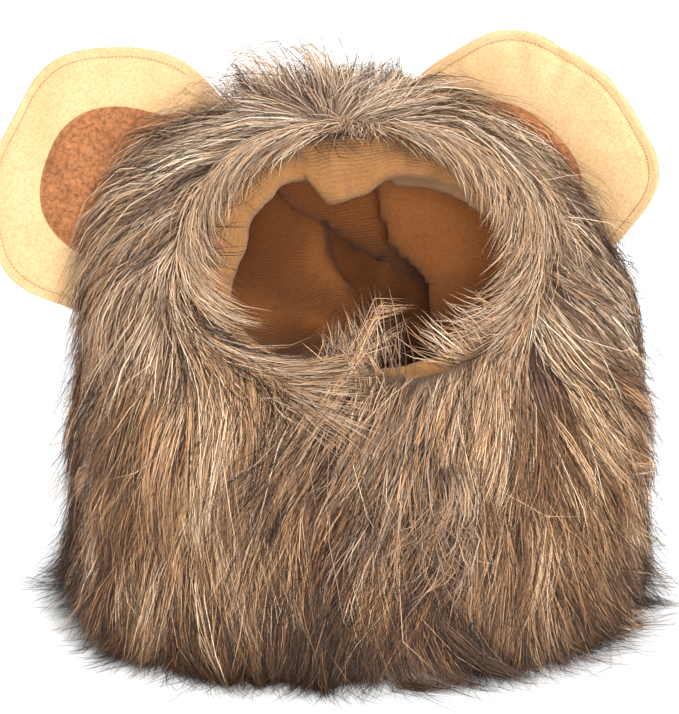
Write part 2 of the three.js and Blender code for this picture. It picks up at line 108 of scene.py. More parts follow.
# Sections of the hood: down, front out, front rise, back out, back rise, side out, squareness
hood_sections = np.array((
    (0.0, 0, 0, 0, 0, 0, 2.15),
    (0.1, -0.95, 0.406, -0.05, 1.006, 0.8, 2.2),
    (0.26, -1.0, 0.336, 0.36, 0.994, 0.91, 2.3),
    (0.42, -1.01, 0.278, 0.7, 0.883, 0.965, 2.4),
    (0.58, -1.01, 0.214, 0.92, 0.65, 0.99, 2.5),
    (0.76, -1.01, 0.132, 1.0, 0.348, 1.0, 2.6),
    (1.0, -1.01, 0, 1.01, 0, 1.01, 2.7),
))
hood_sections[:, (1, 3)] *= body_depth / 2
hood_sections[:, (2, 4)] = blend(hem_height, crown_height, hood_sections[:, (2, 4)])
hood_sections[:, 5] *= body_width / 2
hood_sections[0, 1:3] = (face_centre - face_up * face_height / 2)[1:]
hood_sections[0, 3:5] = (face_centre + face_up * face_height / 2)[1:]
hood_sections[0, 5] = face_width / 2


def skin(around, down):
    """Points on the inner face of the fur fabric."""
    front_y, front_z, back_y, back_z, side, squareness = (
        smooth_column(hood_sections, column, down, column < 6) for column in range(1, 7)
    )
    s = np.sin(np.radians(around))
    c = np.cos(np.radians(around))
    reach = (np.abs(s) ** squareness + np.abs(c) ** squareness) ** (-1 / squareness)
    mix = (1 - reach * c) / 2
    z = blend(front_z, back_z, mix)
    z = z - z * np.maximum(down - 1, 0) / (floor_down - 1)
    return np.stack((side * reach * s, blend(front_y, back_y, mix), z), axis=-1)


def outward(around, down):
    """Directions out of the hood. Below the hem they are level."""
    at = np.clip(down, 0.002, 1)
    high = np.minimum(at + 0.002, 1)
    sideways = skin(around + 1, at) - skin(around - 1, at)
    downwards = skin(around, high) - skin(around, at - 0.002)
    out = np.cross(downwards, sideways)
    out[..., 2] = np.where(np.broadcast_to(down, out.shape[:-1]) > 1, 0, out[..., 2])
    return unit(out)


def flap_edge(down):
    return blend(15.0, 23.0, np.clip(down, 0, 1))


def covered_edge(down):
    return flap_edge(down) - lap_angle


def lift(around, down):
    """How far the chin flap stands off to clear the half that it covers."""
    end = 360 + covered_edge(down) - 2
    return flap_lift * ease(around, end - flap_ramp, end)


pile_levels = np.array((
    (0, 0.35), (0.1, 0.72), (0.26, 0.92), (0.5, 1), (0.8, 1.05), (1, 1.12), (1.2, 1.3),
))


def pile(around, down):
    """Depth of the combed fur off its backing."""
    full = pile_depth * smooth_column(pile_levels, 1, down)
    edge = flap_edge(down)
    right = blend(3.0, full, ease(around, edge - 1, edge + 10))
    left = full * blend(1, 0.62, ease(around, 360 + covered_edge(down) - flap_ramp, 360 + edge))
    shoulder = np.exp(-(((around - 128) / 24) ** 2)) * (1 - ease(down, 0.4, 0.65))
    return np.where(around <= 180, right * (1 - 0.45 * shoulder), left)


# The photograph's camera
camera_rise = math.radians(17)
camera_distance = 1300.0
camera_target = np.array((-8.0, 0.0, 107.0))
camera_scale = 0.437
camera_back = np.array((0.0, -math.cos(camera_rise), math.sin(camera_rise)))
camera_right = np.array((1.0, 0.0, 0.0))
camera_up = np.cross(camera_back, camera_right)


def in_photo(points):
    """Where points of the hood lie in the photograph, in its pixels, down the page."""
    away = points - camera_target
    scale = camera_distance / (camera_distance - away @ camera_back) / camera_scale
    across = photo_size[0] / 2 + (away @ camera_right) * scale
    return np.stack((across, photo_size[1] / 2 - (away @ camera_up) * scale), axis=-1)


# Tables over the whole hood, read by the fur's paths
around_line = np.arange(-60.0, 451.0)
down_line = np.linspace(-0.5, 1.3, 181)
around_grid, down_grid = np.meshgrid(around_line, down_line, indexing="ij")
skin_table = skin(around_grid, down_grid)
out_table = outward(around_grid, down_grid)
side_table = np.gradient(skin_table, around_line, axis=0)
fall_table = np.gradient(skin_table, down_line, axis=1)
side_length = np.linalg.norm(side_table, axis=-1)
fall_length = np.linalg.norm(fall_table, axis=-1)


def read_table(values, around, down):
    u = np.clip(around - around_line[0], 0, len(around_line) - 1.001)
    v = (down - down_line[0]) / (down_line[1] - down_line[0])
    v = np.clip(v, 0, len(down_line) - 1.001)
    i = u.astype(int)
    j = v.astype(int)
    u = u - i
    v = v - j
    if values.ndim == 3:
        u = u[..., None]
        v = v[..., None]
    low = values[i, j] * (1 - u) + values[i + 1, j] * u
    high = values[i, j + 1] * (1 - u) + values[i + 1, j + 1] * u
    return low * (1 - v) + high * v


# How the fur is combed, read off the photograph: place across, place down, heading in degrees
# from straight right, turning up the page
combing = np.array((
    (300, 137, 186), (345, 136, 192), (375, 132, 345), (410, 134, 335), (325, 92, 104), (300, 100, 182),
    (350, 100, 14), (385, 100, 2), (400, 85, 10), (330, 70, 98), (290, 75, 168), (250, 85, 188),
    (215, 80, 185), (270, 110, 195), (240, 115, 202),
    (210, 150, 200), (180, 165, 205), (250, 150, 195), (165, 200, 218), (150, 240, 228), (190, 200, 238),
    (200, 230, 262), (180, 270, 265), (190, 300, -60), (220, 330, -35), (270, 345, -15), (320, 355, 5),
    (350, 350, 60), (130, 330, 252), (100, 400, 254), (90, 450, 262), (150, 420, 264), (200, 450, 268),
    (250, 450, 270), (270, 375, -40), (340, 410, 228), (300, 440, 221), (370, 430, 240), (390, 470, 258),
    (410, 480, 265), (430, 480, 272), (440, 520, 275), (430, 560, 225), (400, 600, 242), (370, 580, 222),
    (450, 620, 285), (470, 400, 262), (500, 400, 275), (530, 400, 285), (560, 400, 290), (600, 400, 292),
    (620, 450, 285), (490, 470, 265), (520, 500, 272), (560, 500, 285), (600, 520, 280), (500, 600, 265),
    (540, 620, 268), (600, 600, 275), (640, 600, 295), (100, 560, 268), (130, 620, 275), (200, 620, 270),
    (280, 600, 268), (430, 100, -4), (470, 110, -24), (520, 165, -28), (560, 190, -30), (480, 150, -45),
    (500, 180, -50), (555, 215, -25), (540, 230, -70), (560, 260, -65), (590, 280, -62), (600, 320, -70),
    (515, 350, 245), (450, 400, 245), (410, 60, 22), (435, 50, 15), (460, 75, -12),
))


def way_on_hood(place, one_down, one_round, wanted):
    """The way over the cloth, as shares down and round it, that looks like the wanted one in the photo."""
    one_down = one_down - place
    one_round = one_round - place
    cross = one_down[..., 0] * one_round[..., 1] - one_down[..., 1] * one_round[..., 0]
    cross = np.where(np.abs(cross) < 0.05, 0.05, cross)
    down = (wanted[..., 0] * one_round[..., 1] - wanted[..., 1] * one_round[..., 0]) / cross
    side = (one_down[..., 0] * wanted[..., 1] - one_down[..., 1] * wanted[..., 0]) / cross
    return unit(np.stack((down, side), axis=-1))


# How far off the cloth the combed layer lies, in millimetres
combed_layer = 12
# How near a heading counts in full, in pixels
heading_reach = 12


def comb_table():
    """Ways in which the fur lies, as shares down the hood and round it, over the hood's tables."""
    shell = skin_table + out_table * combed_layer
    place = in_photo(shell)
    total = np.zeros(place.shape)
    weights = np.zeros(place.shape[:2])
    for across, page, heading in combing:
        apart = (place[..., 0] - across) ** 2 + (place[..., 1] - page) ** 2
        weight = 1 / (apart + heading_reach**2) ** 2
        turn = math.radians(heading)
        total += weight[..., None] * np.array((math.cos(turn), -math.sin(turn)))
        weights += weight
    wanted = unit(total / weights[..., None])
    one_down = in_photo(shell + unit(fall_table))
    one_round = in_photo(shell + unit(side_table))
    charted = way_on_hood(place, one_down, one_round, wanted)
    seen = ease(out_table @ camera_back, -0.02, 0.2)[..., None]
    wave = np.sin(np.radians(around_grid * 3 + 40)) * 0.12 + np.sin(np.radians(around_grid * 7)) * 0.07
    plain = unit(np.stack((np.ones_like(wave), wave), axis=-1))
    return unit(blend(plain, charted, seen))


def way_at(around, down, heading):
    """The way over the cloth at one place for a heading in the photo, in degrees."""
    point = read_table(skin_table, around, down)
    turn = np.radians(heading)
    wanted = np.stack((np.cos(turn), -np.sin(turn)), axis=-1)
    fall = unit(read_table(fall_table, around, down))
    side = unit(read_table(side_table, around, down))
    return way_on_hood(in_photo(point), in_photo(point + fall), in_photo(point + side), wanted)


comb = comb_table()

# Each hair's path is worked out in even steps, and its ribbon has fewer sections, at shares of its length
hair_steps = 20
hair_sections = (0, 0.2, 0.45, 0.75, 1)
# The cloth's length from the face opening to the hem, and how far hair that meets the floor spreads on it
skirt_length = 155.0
floor_spread = 0.45


def grow(around, down, length, height, bend, curl, own_way=None, stiffness=1.8):
    """Paths of hair rooted at places on the hood: points, and the directions out of it.
    Bend turns a hair from the combing, in radians, and curl turns it further by its tip."""
    around = around.copy()
    down = down.copy()
    points = []
    outs = []
    spilled = np.zeros(len(around))
    for k in range(hair_steps + 1):
        share = k / hair_steps
        held = np.minimum(down, floor_down)
        point = read_table(skin_table, around, held)
        out = read_table(out_table, around, held)
        stand = backing + lift(around, held)
        rise = 1 - (1 - share) ** stiffness
        stand = stand + (height - backing) * rise + spilled
        points.append(point + out * stand[:, None])
        outs.append(out)
        combed = read_table(comb, around, down) if own_way is None else own_way
        turn = bend + curl * share
        way = np.stack((
            combed[:, 0] * np.cos(turn) - combed[:, 1] * np.sin(turn),
            combed[:, 0] * np.sin(turn) + combed[:, 1] * np.cos(turn),
        ), axis=-1)
        climb = height / length * stiffness * (1 - share) ** (stiffness - 1)
        stride = length / hair_steps * np.sqrt(np.maximum(1 - climb**2, 0.25))
        around += stride * way[:, 1] / read_table(side_length, around, down)
        fall = stride * way[:, 0] / read_table(fall_length, around, down)
        spilled += np.maximum(down + fall - floor_down, 0) * skirt_length * floor_spread
        down = np.minimum(down + fall, floor_down)
    return np.stack(points, axis=1), np.stack(outs, axis=1)


# A strip of the hood a degree wide is at most this large, in square millimetres
largest_strip = 900


def sown(maker, count, low, high, density):
    """Places for hair roots between two angles, even over the cloth but for their density."""
    around = np.empty(0)
    down = np.empty(0)
    while len(around) < count:
        a = maker.uniform(low, high, count * 2)
        d = maker.uniform(0.0, 1.0, count * 2)
        area = read_table(side_length, a, d) * read_table(fall_length, a, d) / largest_strip
        kept = maker.random(count * 2) < area * density(a, d)
        around = np.append(around, a[kept])
        down = np.append(down, d[kept])
    return around[:count], down[:count]


def nearest(centres, points):
    tree = KDTree(len(centres))
    for i, centre in enumerate(centres):
        tree.insert(centre, i)
    tree.balance()
    return np.array([tree.find(point)[1] for point in points])


def placed(name, data):
    thing = bpy.data.objects.new(name, data)
    bpy.context.scene.collection.objects.link(thing)
    return thing


def placed_bmesh(name, shape):
    mesh = bpy.data.meshes.new(name)
    shape.to_mesh(mesh)
    shape.free()
    return placed(name, mesh)


def at_scale(point):
    """A point of the hood at its place in the scene, in metres."""
    return Vector((point + hood_place) * metre)


def joined_mesh(name, points, corners, counts, tone=None):
    """One mesh object from arrays in the hood's own place. Tone is a UV pair for each point."""
    mesh = bpy.data.meshes.new(name)
    mesh.vertices.add(len(points))
    mesh.vertices.foreach_set("co", ((points + hood_place) * metre).astype(np.float32).ravel())
    mesh.loops.add(len(corners))
    mesh.loops.foreach_set("vertex_index", corners.astype(np.int32))
    mesh.polygons.add(len(counts))
    starts = np.concatenate(((0,), np.cumsum(counts)[:-1]))
    mesh.polygons.foreach_set("loop_start", starts.astype(np.int32))
    if tone is not None:
        layer = mesh.uv_layers.new(name="OFBake")
        layer.uv.foreach_set("vector", tone[corners].astype(np.float32).ravel())
    mesh.update(calc_edges=True)
    mesh.validate()
    mesh.polygons.foreach_set("use_smooth", np.full(len(counts), True))
    return placed(name, mesh)


def ribbons(name, points, outs, width, roll, tone):
    """Hair as ribbons that narrow to a point at both ends."""
    count, sections = points.shape[:2]
    along = np.gradient(points, axis=1)
    side = unit(np.cross(along, outs))
    over = unit(np.cross(side, along))
    side = side * np.cos(roll)[:, None, None] + over * np.sin(roll)[:, None, None]
    taper = np.interp(hair_sections, (0, 0.2, 0.5, 0.8, 1), (0.8, 1, 1, 0.8, 0.2))
    half = (width[:, None] * taper / 2)[:, 1:-1, None]
    left = points[:, 1:-1] - side[:, 1:-1] * half
    right = points[:, 1:-1] + side[:, 1:-1] * half
    body = np.stack((left, right), axis=2).reshape(count, -1, 3)
    vertices = np.concatenate((points[:, :1], body, points[:, -1:]), axis=1)
    each = vertices.shape[1]
    strip = [0, 2, 1]
    for k in range(sections - 3):
        strip += [2 * k + 1, 2 * k + 2, 2 * k + 4, 2 * k + 3]
    strip += [each - 3, each - 2, each - 1]
    corners = (np.arange(count)[:, None] * each + np.array(strip)).ravel()
    counts = np.tile(np.array([3] + [4] * (sections - 3) + [3]), count)
    reach = np.concatenate(((0,), np.repeat(np.array(hair_sections[1:-1]), 2), (1,)))
    pairs = np.stack((np.repeat(tone, each), np.tile(reach, count)), axis=-1)
    return joined_mesh(name, vertices.reshape(-1, 3), corners, counts, pairs)


def at_sections(paths):
    """Paths of even steps, read at the hair's own sections."""
    place = np.array(hair_sections) * hair_steps
    i = np.minimum(place.astype(int), hair_steps - 1)
    share = (place - i)[None, :, None]
    return paths[:, i] * (1 - share) + paths[:, i + 1] * share


def coarse_noise(points, scale, seed):
    """Smooth noise from a few crossing waves."""
    maker = np.random.default_rng(seed)
    total = np.zeros(points.shape[:-1])
    for _ in range(6):
        way = unit(maker.normal(size=3))
        length = scale * maker.uniform(0.6, 1.6)
        total += np.sin(points @ way * 2 * math.pi / length + maker.uniform(0, 6.28))
    return total / 6


# Where the ears stand, for the fur to keep out of them
ear_width = 116.0
ear_height = 100.0
ear_cup = 6.0
ear_clearance = 5.5
ear_places = {
    "left": (-0.99, -0.07, 0.854, 160, 6, -14),
    "right": (0.71, 0.0, 0.926, 47, 27, 12),
}
ear_sizes = {"left": 1.0, "right": 0.95}


def ear_frame(side):
    across, back, rise, heading, lean, yaw = ear_places[side]
    heading = math.radians(heading)
    lean = math.radians(lean)
    yaw = math.radians(yaw)
    up = np.array((math.cos(heading) * math.cos(lean), -math.sin(lean), math.sin(heading) * math.cos(lean)))
    facing = np.array((math.sin(yaw), -math.cos(yaw), 0.25))
    sideways = unit(np.cross(up, facing))
    front = unit(np.cross(sideways, up))
    centre = np.array((across * body_width / 2, back * body_depth / 2, rise * crown_height))
    return np.stack((sideways, up, front)), centre


def in_ear(points, side):
    """Points in an ear's own frame: across, up and forward."""
    axes, centre = ear_frame(side)
    return (points - centre) @ axes.T


def superellipse(x, y, half_width, half_height, squareness=2.5):
    return (np.abs(x / half_width) ** squareness + np.abs(y / half_height) ** squareness) ** (1 / squareness)


def ear_outline(turn, side):
    """How far an ear's edge stands from its middle, by the turn from its right."""
    turn = np.asarray(turn)
    reach = 1 / superellipse(np.cos(turn), np.sin(turn), ear_width / 2, ear_height / 2)
    corners = 0.018 * np.cos(7 * turn + (0.5 if side == "left" else 1.6)) + 0.012 * np.cos(3 * turn + 0.8)
    return reach * ear_sizes[side] * (1 + corners)


def clear_of_ears(paths, room):
    """Moves hair that would run through an ear's plush in front of it or behind it."""
    for side in ear_places:
        axes, centre = ear_frame(side)
        local = in_ear(paths, side)
        reach = superellipse(local[..., 0], local[..., 1], ear_width / 2 + 3, ear_height / 2 + 3)
        reach = reach / ear_sizes[side]
        off = local[..., 2] - ear_cup * (2 * local[..., 0] / ear_width) ** 2
        ahead = np.where(off[:, :1] > -2, 1.0, -1.0)
        wanted = ear_clearance + room[:, None]
        near = (1 - ease(reach, 0.95, 1.2)) * ease(np.arange(off.shape[1]), 0, 3)
        push = np.maximum(wanted - ahead * off, 0) * near
        paths = paths + (push * ahead)[..., None] * axes[2]
    return paths


# Locks and the tufts that they are made of, over the whole hood, shared by its stretches of fur
lock_maker = np.random.default_rng(11)


def even(around, down):
    return np.ones_like(around)


def gather(count, seed, length, spread, turn):
    """Middle paths of locks or tufts, with each one's share of the length, height, bend and curl."""
    maker = np.random.default_rng(seed)
    around, down = sown(maker, count, 2, 383, even)
    around = np.maximum(around, np.where(around < 90, flap_edge(down) + 0.5, 0))
    share = maker.uniform(1 - spread, 1 + spread, count)
    crest = maker.uniform(0.4, 1.3, count)
    bend = maker.normal(0, turn, count)
    curl = maker.normal(0, 2 * turn, count)
    high = backing + pile(around, down) * crest
    paths, _ = grow(around, down, length * share, high, bend, curl)
    return paths, share, crest, bend, curl


lock_paths, lock_share, lock_crest, lock_bend, lock_curl = gather(340, 21, 72, 0.2, 0.19)
tuft_paths, tuft_share, tuft_crest, tuft_bend, tuft_curl = gather(5200, 22, 66, 0.18, 0.15)
tuft_lock = nearest(lock_paths[:, 0], tuft_paths[:, 0])
gathering = np.linspace(0, 1, hair_steps + 1) ** 1.4


def pull(paths, middles, strength):
    return paths + (middles - paths) * (gathering[None, :, None] * strength[:, None, None])


tuft_paths = pull(tuft_paths, lock_paths[tuft_lock], np.full(len(tuft_paths), 0.58))
lock_tone = lock_maker.normal(0, 0.14, len(lock_paths))
tuft_tone = lock_maker.normal(0, 0.15, len(tuft_paths)) + lock_tone[tuft_lock]


# Locks that stand out in the photo, by the stretch of fur that they are in: root round and down, the spread
# of each, heading and its spread, length, height at the tip, curl in degrees, hairs and tone
loose_locks = {
    "fur_flap": (
        (372, 0.01, 5, 0.01, 92, 30, 40, 14, 8, 26, 0.36),
        (366, 0.012, 6, 0.01, 108, 30, 34, 13, 14, 34, 0.42),
        (360, 0.008, 7, 0.008, 118, 34, 26, 12, 20, 80, 0.55),
        (350, 0.008, 6, 0.008, 60, 30, 26, 12, 25, 60, 0.5),
        (352, 0.1, 6, 0.03, 228, 12, 62, 17, 6, 200, 0.44),
        (374, 0.22, 5, 0.04, 232, 16, 50, 20, 50, 150, 0.38),
        (378, 0.34, 5, 0.04, 285, 16, 48, 21, -55, 150, 0.4),
        (376, 0.5, 5, 0.04, 250, 16, 46, 20, 60, 150, 0.35),
        (380, 0.6, 4, 0.04, 290, 16, 44, 20, -60, 130, 0.38),
        (378, 0.05, 6, 0.05, 238, 14, 46, 12, 20, 200, 0.44),
        (368, 0.06, 7, 0.05, 236, 14, 50, 13, 12, 200, 0.46),
        (366, 0.55, 6, 0.05, 224, 16, 46, 20, 45, 130, 0.4),
    ),
    "fur_left_front": (
        (318, 0.02, 6, 0.02, -36, 9, 54, 17, 6, 230, 0.6),
        (300, 0.02, 6, 0.02, -58, 9, 56, 17, 14, 220, 0.58),
        (332, 0.06, 5, 0.03, -32, 11, 48, 17, -8, 170, 0.6),
    ),
    "fur_left_side": (
        (256, 0.0, 16, 0.004, -30, 70, 36, 7, 30, 30, 0.1),
        (243, 0.0, 6, 0.003, 250, 12, 42, 9, 6, 180, 0.66),
        (256, 0.0, 6, 0.003, 262, 12, 42, 9, 8, 180, 0.62),
        (270, 0.0, 6, 0.003, 280, 12, 42, 9, 10, 180, 0.66),
        (242, 0.1, 7, 0.03, 206, 12, 62, 22, 8, 240, 0.62),
        (254, 0.1, 7, 0.03, 220, 12, 62, 22, 8, 240, 0.6),
        (268, 0.1, 7, 0.03, 232, 12, 60, 20, 8, 220, 0.62),
    ),
    "fur_left_back": (
        (196, 0.0, 16, 0.004, 250, 70, 40, 7, 30, 34, 0.1),
        (222, 0.0, 14, 0.004, 285, 70, 40, 7, -30, 34, 0.1),
        (183, 0.0, 4, 0.01, 240, 60, 22, 8, 10, 150, 0.6),
        (186, 0.0, 5, 0.003, 196, 14, 46, 9, 6, 200, 0.6),
        (197, 0.0, 5, 0.003, 203, 12, 50, 9, 4, 200, 0.64),
        (208, 0.0, 5, 0.003, 213, 12, 48, 9, 4, 200, 0.62),
        (219, 0.0, 5, 0.003, 224, 12, 46, 9, 4, 180, 0.6),
        (230, 0.0, 5, 0.003, 236, 12, 44, 9, 4, 180, 0.62),
        (228, 0.14, 7, 0.03, 186, 16, 62, 22, 8, 240, 0.6),
        (188, 0.1, 7, 0.04, 112, 26, 62, 26, 24, 130, 0.62),
        (202, 0.12, 8, 0.04, 138, 30, 62, 25, 24, 130, 0.55),
        (216, 0.14, 8, 0.04, 152, 26, 62, 25, 20, 130, 0.5),
    ),
    "fur_right_back": (
        (160, 0.0, 16, 0.004, 255, 60, 34, 7, 30, 24, 0.12),
        (177, 0.0, 4, 0.01, 290, 60, 22, 8, -10, 150, 0.62),
        (174, 0.0, 5, 0.003, -16, 14, 44, 9, -6, 200, 0.6),
        (164, 0.0, 5, 0.003, -26, 14, 46, 10, -8, 200, 0.64),
        (153, 0.0, 5, 0.003, -36, 14, 46, 10, -8, 200, 0.6),
        (142, 0.0, 5, 0.003, -48, 14, 44, 10, -6, 180, 0.64),
        (130, 0.0, 5, 0.003, -60, 14, 42, 10, -6, 180, 0.6),
        (142, 0.04, 7, 0.02, -34, 12, 62, 11, 6, 200, 0.62),
        (131, 0.03, 7, 0.02, -44, 12, 62, 11, 6, 200, 0.62),
        (172, 0.05, 7, 0.03, 34, 18, 66, 20, -22, 200, 0.66),
        (160, 0.08, 7, 0.03, 26, 18, 64, 21, -22, 180, 0.6),
    ),
    "fur_right_side": (
        (88, 0.008, 8, 0.008, 250, 14, 44, 14, 10, 190, 0.55),
        (76, 0.008, 6, 0.008, 262, 14, 40, 15, 6, 190, 0.6),
        (117, 0.0, 6, 0.003, -72, 16, 42, 10, -6, 180, 0.64),
        (104, 0.0, 6, 0.003, -86, 18, 42, 10, -6, 160, 0.6),
    ),
    "fur_right_front": (
        (62, 0.003, 8, 0.004, 172, 34, 28, 11, 12, 60, 0.62),
        (50, 0.003, 8, 0.004, 145, 40, 26, 11, 12, 60, 0.62),
        (38, 0.003, 6, 0.004, 160, 34, 28, 11, -12, 60, 0.62),
        (44, 0.004, 16, 0.008, 264, 14, 42, 10, 10, 260, 0.6),
    ),
}


# Hair tips stay inside this box of the hood's own place
fur_bounds = np.array(((-160.0, -142.0, 0.0), (152.0, 132.0, 262.0)))
hair_length = 70.0
hem_hair_length = 50.0
hair_width = (0.22, 0.42)
thin_hair = 0.2
stray_stand = (3.0, 20.0)
above_floor = (0.4, 3.5)
dark_tone = 0.05
lowest_root = 0.985


def place_hair(maker, around, down, length, height, bend, curl, stray, sway, own_way=None, tuft=None):
    """Paths of hair and the directions out of the hood. Hair in a tuft is drawn to it, and all hair sways."""
    count = len(around)
    stiffness = np.where(stray, 1.1, 1.8)
    paths, outs = grow(around, down, length, height, bend, curl, own_way, stiffness)
    if tuft is not None:
        paths = pull(paths, tuft_paths[tuft], np.where(stray, 0.1, maker.uniform(0.4, 0.95, count)))
    reach = np.linspace(0, 1, hair_steps + 1)[None, :]
    along = unit(np.gradient(paths, axis=1))
    side = unit(np.cross(along, outs))
    turns = maker.uniform(0.5, 1.7, (count, 1)) * 2 * math.pi * reach + maker.uniform(0, 6.28, (count, 1))
    swing = sway[:, None] * reach * maker.normal(0, 1, (count, 1))
    paths = paths + side * (swing * np.sin(turns))[..., None]
    swing = sway[:, None] * reach * maker.normal(0, 0.5, (count, 1))
    paths = paths + outs * (swing * np.sin(turns + 1))[..., None]
    paths = clear_of_ears(paths, maker.uniform(0, 5, count) + 5 * stray)
    paths[..., 2] = np.maximum(paths[..., 2], maker.uniform(*above_floor, (count, 1)))
    paths = np.clip(paths, fur_bounds[0], fur_bounds[1])
    return at_sections(paths), at_sections(outs)


def hair_tones(maker, root, around, down, tuft, stray):
    """How light each hair is, with painted light on the +X side and painted shade on the -X side, and whether
    it is warm in colour and dark at its tip.
    """
    count = len(down)
    tone = 0.54 + coarse_noise(root, 90, 5) * 0.1 + tuft_tone[tuft] + maker.normal(0, 0.18, count)
    crown = (1 - ease(down, 0.1, 0.45)) * np.exp(-(((around - 180) / 55) ** 2))
    tone = tone + 0.12 * crown - 0.03 - 0.15 * ease(around, 340, 362)
    # Darker towards the hem. Lighter on the +X side, towards the key lamp, as painted light, and darker on
    # the upper -X side as painted shade
    tone = tone - 0.24 * ease(down, 0.7, 1.0) + 0.12 * ease(root[:, 0], 40, 80) * ease(down, 0.1, 0.3)
    tone = tone - 0.08 * ease(-root[:, 0], 40, 80) * (1 - ease(down, 0.45, 0.7))
    dark = (maker.random(count) < 0.1) | (stray & (maker.random(count) < 0.85))
    tone = np.where(dark, dark_tone, np.maximum(tone, maker.uniform(0.15, 0.3, count)))
    high = root[:, 2] + coarse_noise(root, 70, 6) * 40
    warm = maker.random(count) < blend(0.15, 0.94, ease(high, 200, 110))
    tipped = maker.random(count) < blend(0.25, 0.9, ease(down, 0.45, 0.95))
    return tone, warm, tipped


def coat_hair(maker, count, low, high):
    """The even coat between two angles round the hood, as paths, outs, widths and tones."""
    around, down = sown(maker, count, low, high, root_density)
    down = down * lowest_root
    flap = flap_edge(down)
    around = np.where(around < 90, np.maximum(around, flap + maker.uniform(0.2, 2, count)), around)
    around = np.where(around > 350, np.minimum(around, 360 + flap), around)
    root = read_table(skin_table, around, down)
    tuft = nearest(tuft_paths[:, 0], root)
    lock = tuft_lock[tuft]
    low_down = ease(down, 0.75, 1.0)
    length = blend(hair_length, hem_hair_length, ease(down, 0.55, 0.95))
    length = length * tuft_share[tuft] * lock_share[lock] ** 0.5
    length = length * maker.uniform(0.65, 1.12, count) * blend(0.62, 1, ease(down, 0, 0.08))
    # Ragged at the hem
    length = length * (1 + 0.3 * ease(down, 0.7, 1.0) * coarse_noise(root, 45, 9))
    crest = 0.5 * lock_crest[lock] + 0.35 * tuft_crest[tuft] + maker.uniform(-0.6, 0.35, count)
    crest = np.clip(crest, 0.1, 1.4) * (1 + 1.0 * (1 - ease(down, 0, 0.12)))
    # Strays are longer, stand off and follow no tuft
    stray = maker.random(count) < blend(0.08, 0.22, low_down)
    extra = np.where(stray, maker.uniform(*stray_stand, count), 0)
    height = backing + pile(around, down) * crest + extra
    bend = 0.5 * (lock_bend[lock] + tuft_bend[tuft]) + maker.normal(0, 0.06, count) * (1 + stray)
    curl = 0.5 * (lock_curl[lock] + tuft_curl[tuft]) + maker.normal(0, 0.16, count) * (1 + stray)
    length = np.where(stray, length * blend(1.2, 1.6, low_down), length)
    sway = np.where(stray, 2.5, 1.15)
    paths, outs = place_hair(maker, around, down, length, height, bend, curl, stray, sway, tuft=tuft)
    width = np.where(stray, thin_hair, maker.uniform(*hair_width, count))
    return paths, outs, width, *hair_tones(maker, root, around, down, tuft, stray)


def lock_hair(maker, lock):
    """The hair of one loose lock, as paths, outs, widths and tones."""
    middle, low, wide, tall, heading, fan, reach, stand, twist, hairs, shade = lock
    around = maker.normal(middle, wide / 2, hairs)
    down = np.abs(maker.normal(low, tall / 2, hairs))
    way = way_at(around, down, heading + maker.normal(0, fan / 2, hairs) + (around - middle) * 0.6)
    length = reach * maker.uniform(0.6, 1.15, hairs)
    height = backing + stand * maker.uniform(0.35, 1.1, hairs)
    curl = np.radians(twist) * maker.uniform(0.4, 1.6, hairs)
    straight = np.zeros(hairs)
    stray = np.zeros(hairs, bool)
    sway = np.full(hairs, 1.6)
    paths, outs = place_hair(maker, around, down, length, height, straight, curl, stray, sway, own_way=way)
    width = maker.uniform(*hair_width, hairs)
    tone = np.where(maker.random(hairs) < 0.12, dark_tone, maker.normal(shade, 0.13, hairs))
    warm = maker.random(hairs) < 0.35
    tipped = maker.random(hairs) < 0.35
    return paths, outs, width, tone, warm, tipped


def fur(name, count, low, high, seed):
    """One stretch of the fur, between two angles round the hood."""
    maker = np.random.default_rng(seed)
    grown = [coat_hair(maker, count, low, high)]
    grown += [lock_hair(maker, lock) for lock in loose_locks[name]]
    paths, outs, width, tone, warm, tipped = (np.concatenate(parts) for parts in zip(*grown))
    # The range of tones is used four times over: cool and warm hair, each with plain and with dark tips
    tone = (2 * warm + tipped + np.clip(tone, 0.02, 0.98)) / 4
    piece = ribbons(name, paths, outs, width, maker.normal(0, 0.55, len(tone)), tone)
    return finish(piece, fur_finish)


# Materials


class Wiring:
    """Short calls that add nodes to a material or a node group and join them."""

    def __init__(self, tree):
        self.nodes = tree.nodes
        self.links = tree.links

    def feed(self, socket, value):
        """Gives an input a value of its own, or another node's output."""
        if isinstance(value, bpy.types.NodeSocket):
            self.links.new(value, socket)
        else:
            socket.default_value = value

    def add(self, kind, out, feeds=(), **settings):
        """Adds a node, with what its inputs are fed by name or number, and returns one output."""
        node = self.nodes.new("ShaderNode" + kind)
        for key, value in settings.items():
            setattr(node, key, value)
        for key, value in dict(feeds).items():
            self.feed(node.inputs[key], value)
        return node.outputs[out]

    def maths(self, operation, a, b=0.5):
        return self.add("Math", 0, {0: a, 1: b}, operation=operation)

    def ramp(self, value, *stops):
        colour = self.add("ValToRGB", "Color", {0: value})
        bar = colour.node.color_ramp
        while len(bar.elements) < len(stops):
            bar.elements.new(0.5)
        for element, (place, stop) in zip(bar.elements, stops):
            element.position = place
            element.color = (*stop, 1)
        return colour

    def mix(self, share, a, b, mode="MIX"):
        feeds = {"Factor": share, "A": a, "B": b}
        return self.add("Mix", "Result", feeds, data_type="RGBA", blend_type=mode)

    def noise(self, scale, detail, rough=0.5):
        where = self.add("TexCoord", "Object")
        feeds = {"Vector": where, "Scale": scale, "Detail": detail, "Roughness": rough}
        return self.add("TexNoise", "Fac", feeds)


def new_material(name, rough, gloss):
    material = bpy.data.materials.new(name)
    material.use_nodes = True
    surface = material.node_tree.nodes["Principled BSDF"].inputs
    surface["Roughness"].default_value = rough
    surface["Specular IOR Level"].default_value = gloss
    return material, Wiring(material.node_tree), surface


